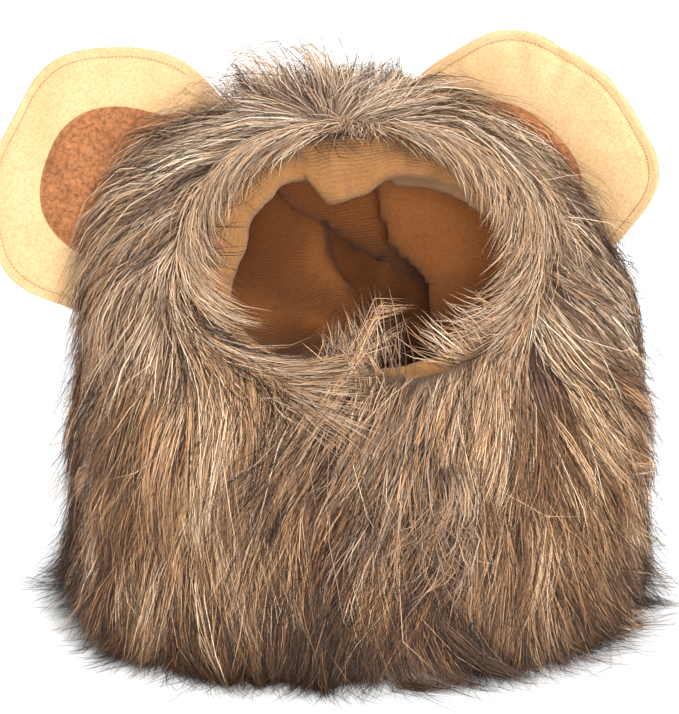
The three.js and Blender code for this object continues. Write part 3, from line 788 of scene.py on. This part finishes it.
def fur_material():
    """Hair, dark at some tips, and darker at its root, partly its own darker base and partly painted shade
    deep in the pile. Each ribbon's first map place holds its tone and kind.
    """
    material, hair, surface = new_material("long_fur", rough=0.48, gloss=0.22)
    place = hair.add("UVMap", "UV", uv_map="OFBake")
    mark = hair.add("SeparateXYZ", "X", {0: place})
    along = mark.node.outputs["Y"]
    tone = hair.maths("FRACT", hair.maths("MULTIPLY", mark, 4))
    warm = hair.maths("GREATER_THAN", mark)
    tipped = hair.maths("GREATER_THAN", hair.maths("FRACT", hair.maths("MULTIPLY", mark, 2)))
    cool_body = hair.ramp(
        tone, (0.0, (0.012, 0.008, 0.007)), (0.1, (0.03, 0.018, 0.013)), (0.25, (0.13, 0.08, 0.05)),
        (0.45, (0.32, 0.21, 0.135)), (0.62, (0.47, 0.33, 0.22)), (0.8, (0.62, 0.46, 0.32)),
        (1.0, (0.85, 0.7, 0.53)))
    warm_body = hair.ramp(
        tone, (0.0, (0.012, 0.007, 0.005)), (0.1, (0.035, 0.017, 0.01)), (0.25, (0.16, 0.074, 0.034)),
        (0.45, (0.38, 0.19, 0.087)), (0.62, (0.53, 0.3, 0.15)), (0.8, (0.66, 0.42, 0.235)),
        (1.0, (0.83, 0.64, 0.43)))
    # Towards the root the hair darkens: partly its own darker base, partly painted shade deep in the pile
    root = hair.ramp(
        tone, (0.0, (0.012, 0.007, 0.005)), (0.3, (0.09, 0.052, 0.033)), (0.7, (0.22, 0.14, 0.092)),
        (1.0, (0.36, 0.245, 0.17)))
    dark_tip = hair.ramp(
        tone, (0.0, (0.01, 0.007, 0.006)), (0.5, (0.05, 0.022, 0.012)), (1.0, (0.17, 0.08, 0.038)))
    from_root = hair.ramp(along, (0.0, (1, 1, 1)), (0.12, (0.8, 0.8, 0.8)), (0.4, (0, 0, 0)))
    to_tip = hair.ramp(along, (0.6, (0, 0, 0)), (0.9, (0.85, 0.85, 0.85)), (1.0, (1, 1, 1)))
    body = hair.mix(warm, cool_body, warm_body)
    rooted = hair.mix(from_root, body, root)
    hair.feed(surface["Base Color"], hair.mix(hair.maths("MULTIPLY", to_tip, tipped), rooted, dark_tip))
    surface["Anisotropic"].default_value = 0.6
    return material


def pile_group():
    """Short pile, for every plush: mottled colour between its lit and shaded colours, painted shade where the
    fibres are low, and the fibres' height.
    """
    group = bpy.data.node_groups.new("short_pile", "ShaderNodeTree")
    for name, kind in (("Lit", "Color"), ("Shade", "Color"), ("Grain", "Float"), ("Painted_Gap_Shade", "Float")):
        group.interface.new_socket(name, in_out="INPUT", socket_type="NodeSocket" + kind)
    for name, kind in (("Color", "Color"), ("Height", "Float")):
        group.interface.new_socket(name, in_out="OUTPUT", socket_type="NodeSocket" + kind)
    plush = Wiring(group)
    given = plush.nodes.new("NodeGroupInput").outputs
    made = plush.nodes.new("NodeGroupOutput").inputs
    mottle = plush.noise(55.0, 5.0, 0.6)
    fibre = plush.noise(given["Grain"], 3.0, 0.7)
    spread = plush.add("MapRange", "Result", {"Value": mottle, "From Min": 0.32, "From Max": 0.68})
    # Painted shade in the low places between the fibres, darkest where the fibre noise is lowest
    feeds = {"Value": fibre, "From Min": 0.38, "From Max": 0.58, "To Min": given["Painted_Gap_Shade"]}
    painted_gap_shading = plush.add("MapRange", "Result", feeds)
    body = plush.mix(spread, given["Shade"], given["Lit"])
    plush.feed(made["Color"], plush.mix(0.5, body, painted_gap_shading, "MULTIPLY"))
    plush.feed(made["Height"], fibre)
    return group


def painted_hollow_light(plush, painted_bounce_colour):
    """Painted light in the hollow: a brighter, redder colour as painted bounce light, fading to painted shade
    furthest in, and where it takes over from the rolled edge's colour.
    """
    where = plush.add("TexCoord", "Object")
    inside = plush.add("VectorMath", "Value", {0: where, 1: tuple(face_out)}, operation="DOT_PRODUCT")
    rim = float((face_centre + hood_place) @ face_out) * metre
    feeds = {"Value": inside, "From Min": rim - 0.008, "From Max": rim - 0.128}
    within = plush.add("MapRange", "Result", feeds)
    # Furthest in, the colour darkens to painted shade
    far = tuple(part * 0.45 for part in painted_bounce_colour)
    rolled = plush.ramp(within, (0.0, (0, 0, 0)), (0.2, (1, 1, 1)))
    return rolled, plush.ramp(within, (0.66, painted_bounce_colour), (1.0, far))


def plush_material(name, lit, shade, grain=900.0, painted_gap_shade=0.6, painted_bounce_colour=None, ribs=0.0):
    """Short pile cloth: deep is the colour of painted bounce light in its hollow, which fades to painted
    shade furthest in, and ribs is how close its rows are.
    """
    material, plush, surface = new_material(name, rough=0.9, gloss=0.2)
    lit = (*lit, 1)
    shade = (*shade, 1)
    if painted_bounce_colour is not None:
        rolled, hollow = painted_hollow_light(plush, painted_bounce_colour)
        lit = plush.mix(rolled, lit, hollow)
        shade = plush.mix(rolled, shade, hollow)
    feeds = {"Lit": lit, "Shade": shade, "Grain": grain, "Painted_Gap_Shade": painted_gap_shade}
    colour = plush.add("Group", "Color", feeds, node_tree=short_pile)
    height = colour.node.outputs["Height"]
    if ribs:
        flat = plush.add("UVMap", "UV", uv_map="cloth")
        feeds = {"Vector": flat, "Scale": ribs, "Distortion": 2.5, "Detail": 3.0, "Detail Scale": 4.0}
        rows = plush.add("TexWave", "Fac", feeds, wave_type="BANDS", bands_direction="Y")
        # Painted shade in the grooves between the ribs' rows
        between = plush.ramp(rows, (0.0, (0.62, 0.58, 0.55)), (0.6, (1, 1, 1)))
        colour = plush.mix(0.16, colour, between, "MULTIPLY")
        height = plush.maths("ADD", height, rows)
    bump = plush.add("Bump", "Normal", {"Height": height, "Strength": 0.5, "Distance": 0.0006})
    plush.feed(surface["Base Color"], colour)
    plush.feed(surface["Normal"], bump)
    surface["Sheen Weight"].default_value = 0.12
    surface["Sheen Roughness"].default_value = 0.45
    return material


short_pile = pile_group()
fur_finish = fur_material()
undercoat_finish = plush_material("fur_backing", (0.2, 0.12, 0.07), (0.09, 0.052, 0.03))
# The lining's hollow is painted: brighter, redder bounce light that darkens to painted shade furthest in
lining_finish = plush_material("tan_plush", (0.34, 0.165, 0.06), (0.27, 0.12, 0.04),
                               painted_bounce_colour=(0.6, 0.215, 0.062), ribs=420.0)
ear_finish = plush_material("yellow_plush", (0.66, 0.44, 0.235), (0.62, 0.38, 0.18))
# The curly pile takes the deepest painted shade between its fibres
curl_finish = plush_material("brown_curls", (0.42, 0.17, 0.068), (0.27, 0.1, 0.038), grain=520.0, painted_gap_shade=0.12)
thread_finish = plush_material("seam_thread", (0.52, 0.33, 0.13), (0.4, 0.24, 0.09))
strip_finish = plush_material("fastener_loops", (0.18, 0.11, 0.06), (0.11, 0.06, 0.03))


def finish(thing, material):
    thing.data.materials.clear()
    thing.data.materials.append(material)
    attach(thing, "root")
    return thing


def grid_piece(name, points):
    """A cloth surface: a grid of quads set onto a table of points, with its flat places as a UV map."""
    rows, columns = points.shape[:2]
    cloth = bmesh.new()
    flat_map = cloth.loops.layers.uv.new("cloth")
    bmesh.ops.create_grid(cloth, x_segments=columns - 1, y_segments=rows - 1, size=0.5, calc_uvs=False)
    order = sorted(cloth.verts, key=lambda v: (round(v.co.y, 6), round(v.co.x, 6)))
    across = np.linalg.norm(np.diff(points, axis=1), axis=-1).mean(axis=0)
    across = np.concatenate(((0,), np.cumsum(across))) * metre
    along = np.linalg.norm(np.diff(points, axis=0), axis=-1).mean(axis=1)
    along = np.concatenate(((0,), np.cumsum(along))) * metre
    flat = {}
    for i, vertex in enumerate(order):
        vertex.co = at_scale(points[i // columns, i % columns])
        flat[vertex] = (across[i % columns], along[i // columns])
    for face in cloth.faces:
        face.smooth = True
        for loop in face.loops:
            loop[flat_map].uv = flat[loop.vert]
    return placed_bmesh(name, cloth)


def area_of(thing):
    return sum(face.area for face in thing.data.polygons)


def wall(thing, thickness):
    solid = thing.modifiers.new("wall", "SOLIDIFY")
    solid.thickness = thickness * metre
    solid.offset = 0


# Fur fabric under the pile: its thickness, and how far its middle stands off the hood's inner face
fabric_wall = 1.4
fabric_stand = 0.9


def undercoat(name, low, high):
    """The backing of one half of the hood, between two angles or to its edge at the chin."""
    share, down = np.meshgrid(np.linspace(0, 1, 52), np.linspace(0, 1, 40))
    start = covered_edge(down) if low is None else np.full_like(down, low)
    end = 360 + flap_edge(down) if high is None else np.full_like(down, high)
    around = blend(start, end, share)
    stand = lift(around, down) + fabric_stand + 0.35 * coarse_noise(skin(around, down), 14, 3)
    points = skin(around, down) + outward(around, down) * stand[..., None]
    piece = grid_piece(name, points)
    size = area_of(piece)
    wall(piece, fabric_wall)
    finish(piece, undercoat_finish)
    return piece, size


backing_left, backing_left_area = undercoat("fur_backing_left", 180.1, None)
backing_right, backing_right_area = undercoat("fur_backing_right", None, 179.9)


def root_density(around, down):
    """How close hair roots stand: closest at the rim, over the chin's side and the crown."""
    crescent = np.exp(-(((around - 318) / 24) ** 2)) + np.exp(-(((around - 180) / 45) ** 2))
    rim = 1 + (1.2 + 1.6 * crescent) * (1 - ease(down, 0.0, 0.06))
    hem = 1 + 0.5 * ease(down, 0.8, 0.97)
    return rim * hem / 6


# Hairs, the angles that they stand between, and the half of the hood
fur_pieces = {
    "fur_flap": (18500, 338, 383, "left"),
    "fur_left_front": (21500, 290, 338, "left"),
    "fur_left_side": (18000, 238, 290, "left"),
    "fur_left_back": (13000, 180.3, 238, "left"),
    "fur_right_back": (13000, 122, 179.7, "right"),
    "fur_right_side": (18000, 70, 122, "right"),
    "fur_right_front": (22000, 15, 70, "right"),
}
coats = {"left": [], "right": []}
for order, (name, (count, low, high, side)) in enumerate(fur_pieces.items()):
    coat = fur(name, count, low, high, 100 + order)
    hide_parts("mane_" + side)
    coats[side].append(coat)


# Lining: its wall, the roll round the face opening and loose folds
roll_width = 17.0
roll_depth = 13.0
crumple_depth = 0.8
looseness = 1.2
# Width of the roll, as a share of its full width, by the angle round the opening
roll_widths = np.array((
    (-10, 0.2), (30, 0.25), (70, 0.3), (110, 0.45), (150, 0.8), (165, 0.95), (169, 1.1), (173, 1.3),
    (178, 1.4), (184, 1.46), (190, 1.53), (196, 1.58), (202, 1.6), (203.5, 0.97), (208, 0.9), (214, 0.82),
    (220, 0.86), (226, 1.0), (232, 1.02), (244, 1.06), (262, 1.2), (274, 1.0), (284, 0.8), (300, 0.5),
    (320, 0.26), (382, 0.2),
))
# Ridges of cloth on the wall that the photo shows, read off it. Each is a line of places
# (across and down the photo, height in millimetres), with its widths to its right or above and to its left
# or below, and how far its crest hangs over towards the narrower of the two
seen_ridges = (
    (((302, 191, 20), (322, 205, 22), (352, 221, 22), (379, 238, 20), (395, 250, 16)), 36, 4.5, 5),
    (((296, 207, 10), (302, 222, 20), (318, 245, 30), (320, 257, 31), (321, 269, 32), (329, 281, 33),
      (341, 296, 33), (354, 315, 30), (367, 337, 20)), 4, 27, 4.5),
    (((380, 258, 14), (381, 275, 19), (383, 300, 21), (387, 330, 20), (391, 360, 14)), 4, 18, 4),
    (((280, 314, 20), (312, 322, 34), (338, 335, 36), (355, 350, 30), (366, 368, 18)), 8, 22, 2),
)
# Ridges elsewhere, as places round and down the hood with their heights
ridges = (
    (((171, 0.08, 14), (173, 0.25, 28), (171.5, 0.42, 36), (169.5, 0.52, 42), (165, 0.6, 48),
      (157, 0.64, 50), (152, 0.68, 50), (151, 0.755, 48), (152.5, 0.835, 40), (156, 0.93, 22)), 50, 5, 5),
    (((209, 0.44, 12), (197, 0.525, 20)), 36, 4.5, 5),
    (((262, 0.4, 6), (266, 0.97, 6)), 13, 13, 0),
    (((300, 0.35, 5), (296, 0.93, 5)), 13, 13, 0),
    (((128, 0.4, 10), (122, 0.97, 10)), 15, 13, 0),
    (((92, 0.35, 6), (96, 0.93, 6)), 13, 13, 0),
    (((58, 0.35, 5), (62, 0.93, 5)), 13, 13, 0),
)
wall_length = 190.0
degree = math.radians(body_width / 2)
# Folds stand out from the wall towards the middle of the face opening
fold_hub = face_centre - face_out * 6


def on_wall(place):
    """Where on the wall a crest stands, for its place in the photo and its height."""
    across, page, height = place
    around = np.arange(90.0, 290.0, 0.5)[:, None]
    down = np.arange(0.02, 1.0, 0.005)[None, :]
    point = skin(around + 0 * down, down + 0 * around)
    shown = in_photo(point + unit(fold_hub - point) * (1.4 + height))
    apart = np.hypot(shown[..., 0] - across, shown[..., 1] - page)
    i, j = np.unravel_index(np.argmin(apart), apart.shape)
    return around[i, 0], down[0, j], height


ridges = tuple((tuple(on_wall(place) for place in line), *rest) for line, *rest in seen_ridges) + ridges


def folds_at(around, down):
    """How far the cloth stands in from the wall, and how far its crests hang over, round and down."""
    height = np.zeros_like(around)
    over_round = np.zeros_like(around)
    over_down = np.zeros_like(around)
    x = around * degree
    y = down * wall_length
    for line, low, high, hang in ridges:
        near = np.full_like(around, 1e9)
        beside = np.zeros_like(around)
        crest = np.zeros_like(around)
        turn = np.zeros((2, *around.shape))
        for (a0, d0, h0), (a1, d1, h1) in zip(line[:-1], line[1:]):
            way = np.array(((a1 - a0) * degree, (d1 - d0) * wall_length))
            length = np.hypot(*way)
            px = x - a0 * degree
            py = y - d0 * wall_length
            share = np.clip((px * way[0] + py * way[1]) / length**2, 0, 1)
            apart = np.hypot(px - share * way[0], py - share * way[1])
            closer = apart < near
            near = np.where(closer, apart, near)
            side = np.sign(px * way[1] - py * way[0])
            beside = np.where(closer, side * apart, beside)
            crest = np.where(closer, h0 + (h1 - h0) * share, crest)
            turn[0] = np.where(closer, way[1] / length, turn[0])
            turn[1] = np.where(closer, -way[0] / length, turn[1])
        width = np.where(beside > 0, high, low)
        rise = crest * np.exp(-((near / width) ** 2))
        towards = 1 if high < low else -1
        lean = hang * np.exp(-((near / 12) ** 2)) * (rise > height) * towards
        over_round = np.where(rise > height, turn[0] * lean, over_round)
        over_down = np.where(rise > height, turn[1] * lean, over_down)
        height = np.maximum(height, rise)
    return height, over_round / degree, over_down / wall_length


def lining_points(columns, roll_rows, wall_rows):
    inset = clearance + lining_wall / 2
    # Closer columns where the folds are, by degrees round the cloth from its covered edge
    round_cloth = np.linspace(0, 378, columns)
    crowd = np.cumsum(1 + 2.2 * np.exp(-(((round_cloth - 185) / 34) ** 2)))
    share = (crowd - crowd[0]) / (crowd[-1] - crowd[0])
    first = covered_edge(0.0) + share * (360 + lap_angle)
    rim = skin(first, 0.0) + outward(first, np.zeros(columns)) * lift(first, 0.0)[:, None]
    inwards = unit(face_centre - rim)
    wide = smooth_column(roll_widths, 1, first)
    back = roll_depth * blend(0.3, 1, np.minimum(wide, 1))
    flat = lift(first, 0.0) / flap_lift
    # Right of the crown the roll is open, and runs on into the biggest fold
    open_roll = ease(first, 90, 125) * (1 - ease(first, 160, 171))

    def wall_at(down):
        around = covered_edge(down) + share * (360 + lap_angle)
        loose = looseness * (1 - flat**4) * (1 - ease(down, 0.07, 0.4))
        height, over_round, over_down = folds_at(around, np.full_like(around, down))
        height = height * (1 - flat)
        down = down + over_down
        around = around + over_round
        crumple = crumple_depth * coarse_noise(skin(around, down), 26, 8) * (1 - flat)
        stand = lift(around, down) - inset - loose - np.abs(crumple)
        point = skin(around, down)
        folded = unit(fold_hub - point) * height[:, None]
        return point + outward(around, down) * stand[:, None] + folded

    def roll_at(inward, forward):
        inward = (1.7 * inset + inward * roll_width * wide)[:, None]
        return rim + inwards * inward + face_out * np.reshape(forward, (-1, 1))

    pucker = np.sin(np.radians(first) * 31 + 2 * np.sin(np.radians(first * 3))) * 0.5
    pucker = pucker + np.sin(np.radians(first) * 17 + 1) * 0.8 + np.sin(np.radians(first) * 9 + 2) * 0.9
    control = [
        rim - outward(first, np.zeros(columns)) * inset,
        roll_at(0.5, 2.2 + pucker),
        roll_at(0.93 + 0.03 * pucker, 1.0 + pucker),
        roll_at(0.95 + 0.05 * open_roll, -0.4 * back),
        roll_at(0.35 + 0.7 * open_roll, -back),
    ]
    control = [blend(point, wall_at(0.07 * i / 5), flat[:, None]) for i, point in enumerate(control)]
    crowd = np.cumsum(1 + 1.8 * np.exp(-(((np.linspace(0, 1, wall_rows) - 0.6) / 0.2) ** 2)))
    downs = 0.07 + 0.93 * (crowd - crowd[0]) / (crowd[-1] - crowd[0])
    rows = [wall_at(down) for down in downs]
    line = np.stack([*control, rows[0], rows[2]])
    rolled = []
    for place in np.linspace(0, 5, roll_rows, endpoint=False):
        i = int(place)
        t = place - i
        p0 = line[max(i - 1, 0)]
        p1 = line[i]
        p2 = line[i + 1]
        p3 = line[i + 2]
        rolled.append(hermite(p1, p2, (p2 - p0) / 2, (p3 - p1) / 2, t))
    return np.stack([*rolled, *rows])


lining = grid_piece("plush_lining", lining_points(260, 20, 78))
wall(lining, lining_wall)
finish(lining, lining_finish)
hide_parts("lining")


# Ears
ear_thickness = 9.0
ear_edge_thickness = 2.4
# The seam runs at this share of the way from an ear's middle to its edge
seam_share = 0.93
stitches = 120
nub_spacing = 1.5


def ear_face(x, y, face, side):
    """How far forward an ear's face lies: 1 is its front and -1 its back."""
    share = np.minimum(np.hypot(x, y) / ear_outline(np.arctan2(y, x), side), 1)
    half = blend(ear_thickness, ear_edge_thickness, share**3) / 2
    return ear_cup * (2 * x / ear_width) ** 2 + face * half


# Creases that the stuffing draws in an ear: the turn from its right in degrees, width and depth
ear_creases = {
    "left": ((92, 5, 1.4), (62, 4, 1.1), (128, 5, 0.8)),
    "right": ((118, 3.5, 1.5), (103, 3.5, 1.3), (84, 4, 1.0), (58, 5, 0.8), (140, 4, 1.0)),
}


def below_hood(points):
    """How far points lie inside the hood's outer cloth, roughly, from its tables."""
    flat = skin_table[60:420:4, 50:150:2].reshape(-1, 3)
    outs = out_table[60:420:4, 50:150:2].reshape(-1, 3)
    found = nearest(flat, points)
    return ((points - flat[found]) * outs[found]).sum(axis=1)


def ear(side):
    """A lightly stuffed plush ear, sewn round its edge, open to the hood at its foot."""
    axes, centre = ear_frame(side)
    # A ball is pressed flat: its rings go out over the front, round the edge and back in behind
    shares = np.concatenate(((0,), np.linspace(0.02, 0.86, 22), (0.9, seam_share, 0.96, 0.985, 1.0)))
    shares = np.concatenate((shares, shares[::-1]))
    shell = bmesh.new()
    bmesh.ops.create_uvsphere(shell, u_segments=96, v_segments=len(shares) - 1, radius=1)
    ball = np.array([tuple(vertex.co) for vertex in shell.verts])
    around = np.arctan2(ball[:, 1], ball[:, 0])
    ring = np.rint(np.arccos(np.clip(ball[:, 2], -1, 1)) / math.pi * (len(shares) - 1)).astype(int)
    share = shares[ring]
    face_side = np.where(ring < len(shares) // 2, 1, -1)
    reach = ear_outline(around, side)
    x = np.cos(around) * share * reach
    y = np.sin(around) * share * reach
    pinch = np.exp(-(((share - seam_share) / 0.022) ** 2)) * 0.9
    near_edge = np.exp(-(((share - 0.86) / 0.07) ** 2))
    crimp = np.sin(around * 34 + 2.2 * np.sin(around * 5)) * 0.55 * near_edge
    for turn, wide, depth in ear_creases[side]:
        apart = (np.degrees(around) - turn + 180) % 360 - 180
        crimp = crimp - depth * np.exp(-((apart / wide) ** 2)) * ease(share, 0.5, 0.75)
    z = ear_face(x, y, face_side, side) + face_side * (crimp - pinch)
    places = np.stack((x, y, z), axis=-1) @ axes + centre
    for vertex, place in zip(shell.verts, places):
        vertex.co = at_scale(place)
    bmesh.ops.recalc_face_normals(shell, faces=shell.faces)
    gone = [vertex for vertex, far in zip(shell.verts, below_hood(places)) if far < backing - 1]
    bmesh.ops.delete(shell, geom=gone, context="VERTS")
    bmesh.ops.holes_fill(shell, edges=[edge for edge in shell.edges if edge.is_boundary])
    for face in shell.faces:
        face.smooth = True
    thing = finish(placed_bmesh("plush_ear_" + side, shell), ear_finish)
    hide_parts("ear_" + side)
    return thing


def seam(side):
    """Stitches round an ear's front, just inside its edge, in the hollow that they pull."""
    axes, centre = ear_frame(side)
    starts = np.linspace(math.radians(-15), math.radians(195), stitches, endpoint=False)
    corner = np.array(((0, 0), (0.32, 0.3), (0.7, 0), (0.32, -0.3)))
    points = []
    for start in starts:
        turn = start + corner[:, 0] * (starts[1] - starts[0])
        reach = ear_outline(turn, side) * seam_share + corner[:, 1]
        x = np.cos(turn) * reach
        y = np.sin(turn) * reach
        points.append(np.stack((x, y, ear_face(x, y, 1, side) - 0.5), axis=-1))
    places = np.concatenate(points) @ axes + centre
    kept = np.repeat(below_hood(places.reshape(stitches, 4, 3).mean(axis=1)) > backing + 2, 4)
    places = places[kept]
    corners = np.arange(len(places))
    thing = joined_mesh("seam_" + side, places, corners, np.full(len(places) // 4, 4))
    wall(thing, 0.5)
    return finish(thing, thread_finish)


# Middle of each patch up its ear, and its half sizes across and up
patch_places = {"left": (-11, 34, 41), "right": (-21, 34, 35)}


def curly_patch(side):
    """The curly pile patch on an ear's front: close nubs on a thin cloth."""
    axes, centre = ear_frame(side)
    maker = np.random.default_rng(31 if side == "left" else 32)
    steps = 122
    line = np.linspace(-1, 1, steps)
    u, v = np.meshgrid(line, line)
    # A square grid drawn out to the patch's rounded outline
    bent = np.maximum(np.abs(u), np.abs(v))
    reach = superellipse(u, v, 1, 1)
    scale = np.where(reach > 0, bent / np.maximum(reach, 1e-6), 0)
    middle, half_width, half_height = patch_places[side]
    x = u * scale * half_width
    y = v * scale * half_height + middle
    # Nubs stand on a jittered grid
    columns = np.arange(-42, 43, nub_spacing)
    rows = np.arange(-66, 31, nub_spacing)
    spots = np.stack(np.meshgrid(columns, rows), axis=-1).reshape(-1, 2)
    spots = spots + maker.uniform(-0.55, 0.55, spots.shape)
    flat = np.stack((x, y), axis=-1).reshape(-1, 2)
    near = nearest(np.pad(spots, ((0, 0), (0, 1))), np.pad(flat, ((0, 0), (0, 1))))
    apart = np.linalg.norm(flat - spots[near], axis=1).reshape(x.shape)
    size = maker.uniform(0.7, 1.1, len(spots))[near].reshape(x.shape)
    rise = maker.uniform(0.6, 1.3, len(spots))[near].reshape(x.shape)
    nub = np.sqrt(np.maximum(1 - (apart / size) ** 2, 0)) * rise
    edge = 1 - ease(bent, 0.93, 1.0)
    z = ear_face(x, y, 1, side) + 0.5 + edge * (1.3 + 1.1 * nub)
    thing = grid_piece("curly_patch_" + side, np.stack((x, y, z), axis=-1) @ axes + centre)
    patch = bmesh.new()
    patch.from_mesh(thing.data)
    depth = below_hood(np.array([np.array(vertex.co) / metre - hood_place for vertex in patch.verts]))
    gone = [vertex for vertex, far in zip(patch.verts, depth) if far < backing + 0.5]
    bmesh.ops.delete(patch, geom=gone, context="VERTS")
    patch.to_mesh(thing.data)
    patch.free()
    finish(thing, curl_finish)
    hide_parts("inner_ear_" + side)
    return thing


for make in (ear, curly_patch, seam):
    for side in ear_places:
        make(side)

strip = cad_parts["closure_strip"]
strip.data.materials.clear()
strip.data.materials.append(strip_finish)


# Floor, light and camera
def floor_material():
    material, paper, surface = new_material("white_floor", rough=0.9, gloss=0.5)
    tint = paper.ramp(paper.noise(2.0, 2.0), (0.3, (0.9, 0.9, 0.9)), (0.7, (0.909, 0.909, 0.909)))
    paper.feed(surface["Base Color"], tint)
    return material


ground = bmesh.new()
bmesh.ops.create_grid(ground, x_segments=4, y_segments=4, size=4)
floor = placed_bmesh("floor", ground)
floor.data.materials.append(floor_material())

world = bpy.data.worlds.new("studio")
bpy.context.scene.world = world
world.use_nodes = True
world.node_tree.nodes["Background"].inputs["Color"].default_value = (1, 1, 1, 1)
world.node_tree.nodes["Background"].inputs["Strength"].default_value = 0.38


def lamp(name, place, aim, size, power):
    light = bpy.data.lights.new(name, "AREA")
    light.size = size
    light.energy = power
    thing = placed(name, light)
    thing.location = place
    thing.rotation_mode = "QUATERNION"
    thing.rotation_quaternion = (Vector(aim) - Vector(place)).to_track_quat("-Z", "Y")


lamp("key", (0.72, -1.3, 1.05), (0, 0, 0.13), 0.4, 32)
lamp("front", (0.1, -1.9, 0.62), (0, 0, 0.14), 0.5, 18)
lamp("fill", (-1.1, -1.2, 0.8), (0, 0, 0.12), 0.9, 7)
lamp("top", (-0.1, 0.5, 1.7), (0, 0, 0.15), 1.0, 26)
lamp("backdrop", (0, 2.6, 2.2), (0, 2.6, 0), 2.4, 60)

camera = placed("camera", bpy.data.cameras.new("camera"))
aim = (camera_target + hood_place) * metre
camera.location = aim + camera_back * camera_distance * metre
camera.rotation_mode = "QUATERNION"
camera.rotation_quaternion = Vector(-camera_back).to_track_quat("-Z", "Y")
camera.data.sensor_width = 36
camera.data.lens = camera_distance * camera.data.sensor_width / (camera_scale * max(photo_size))
camera.data.clip_start = 0.01
bpy.context.scene.camera = camera
bpy.context.scene.view_settings.view_transform = "Standard"
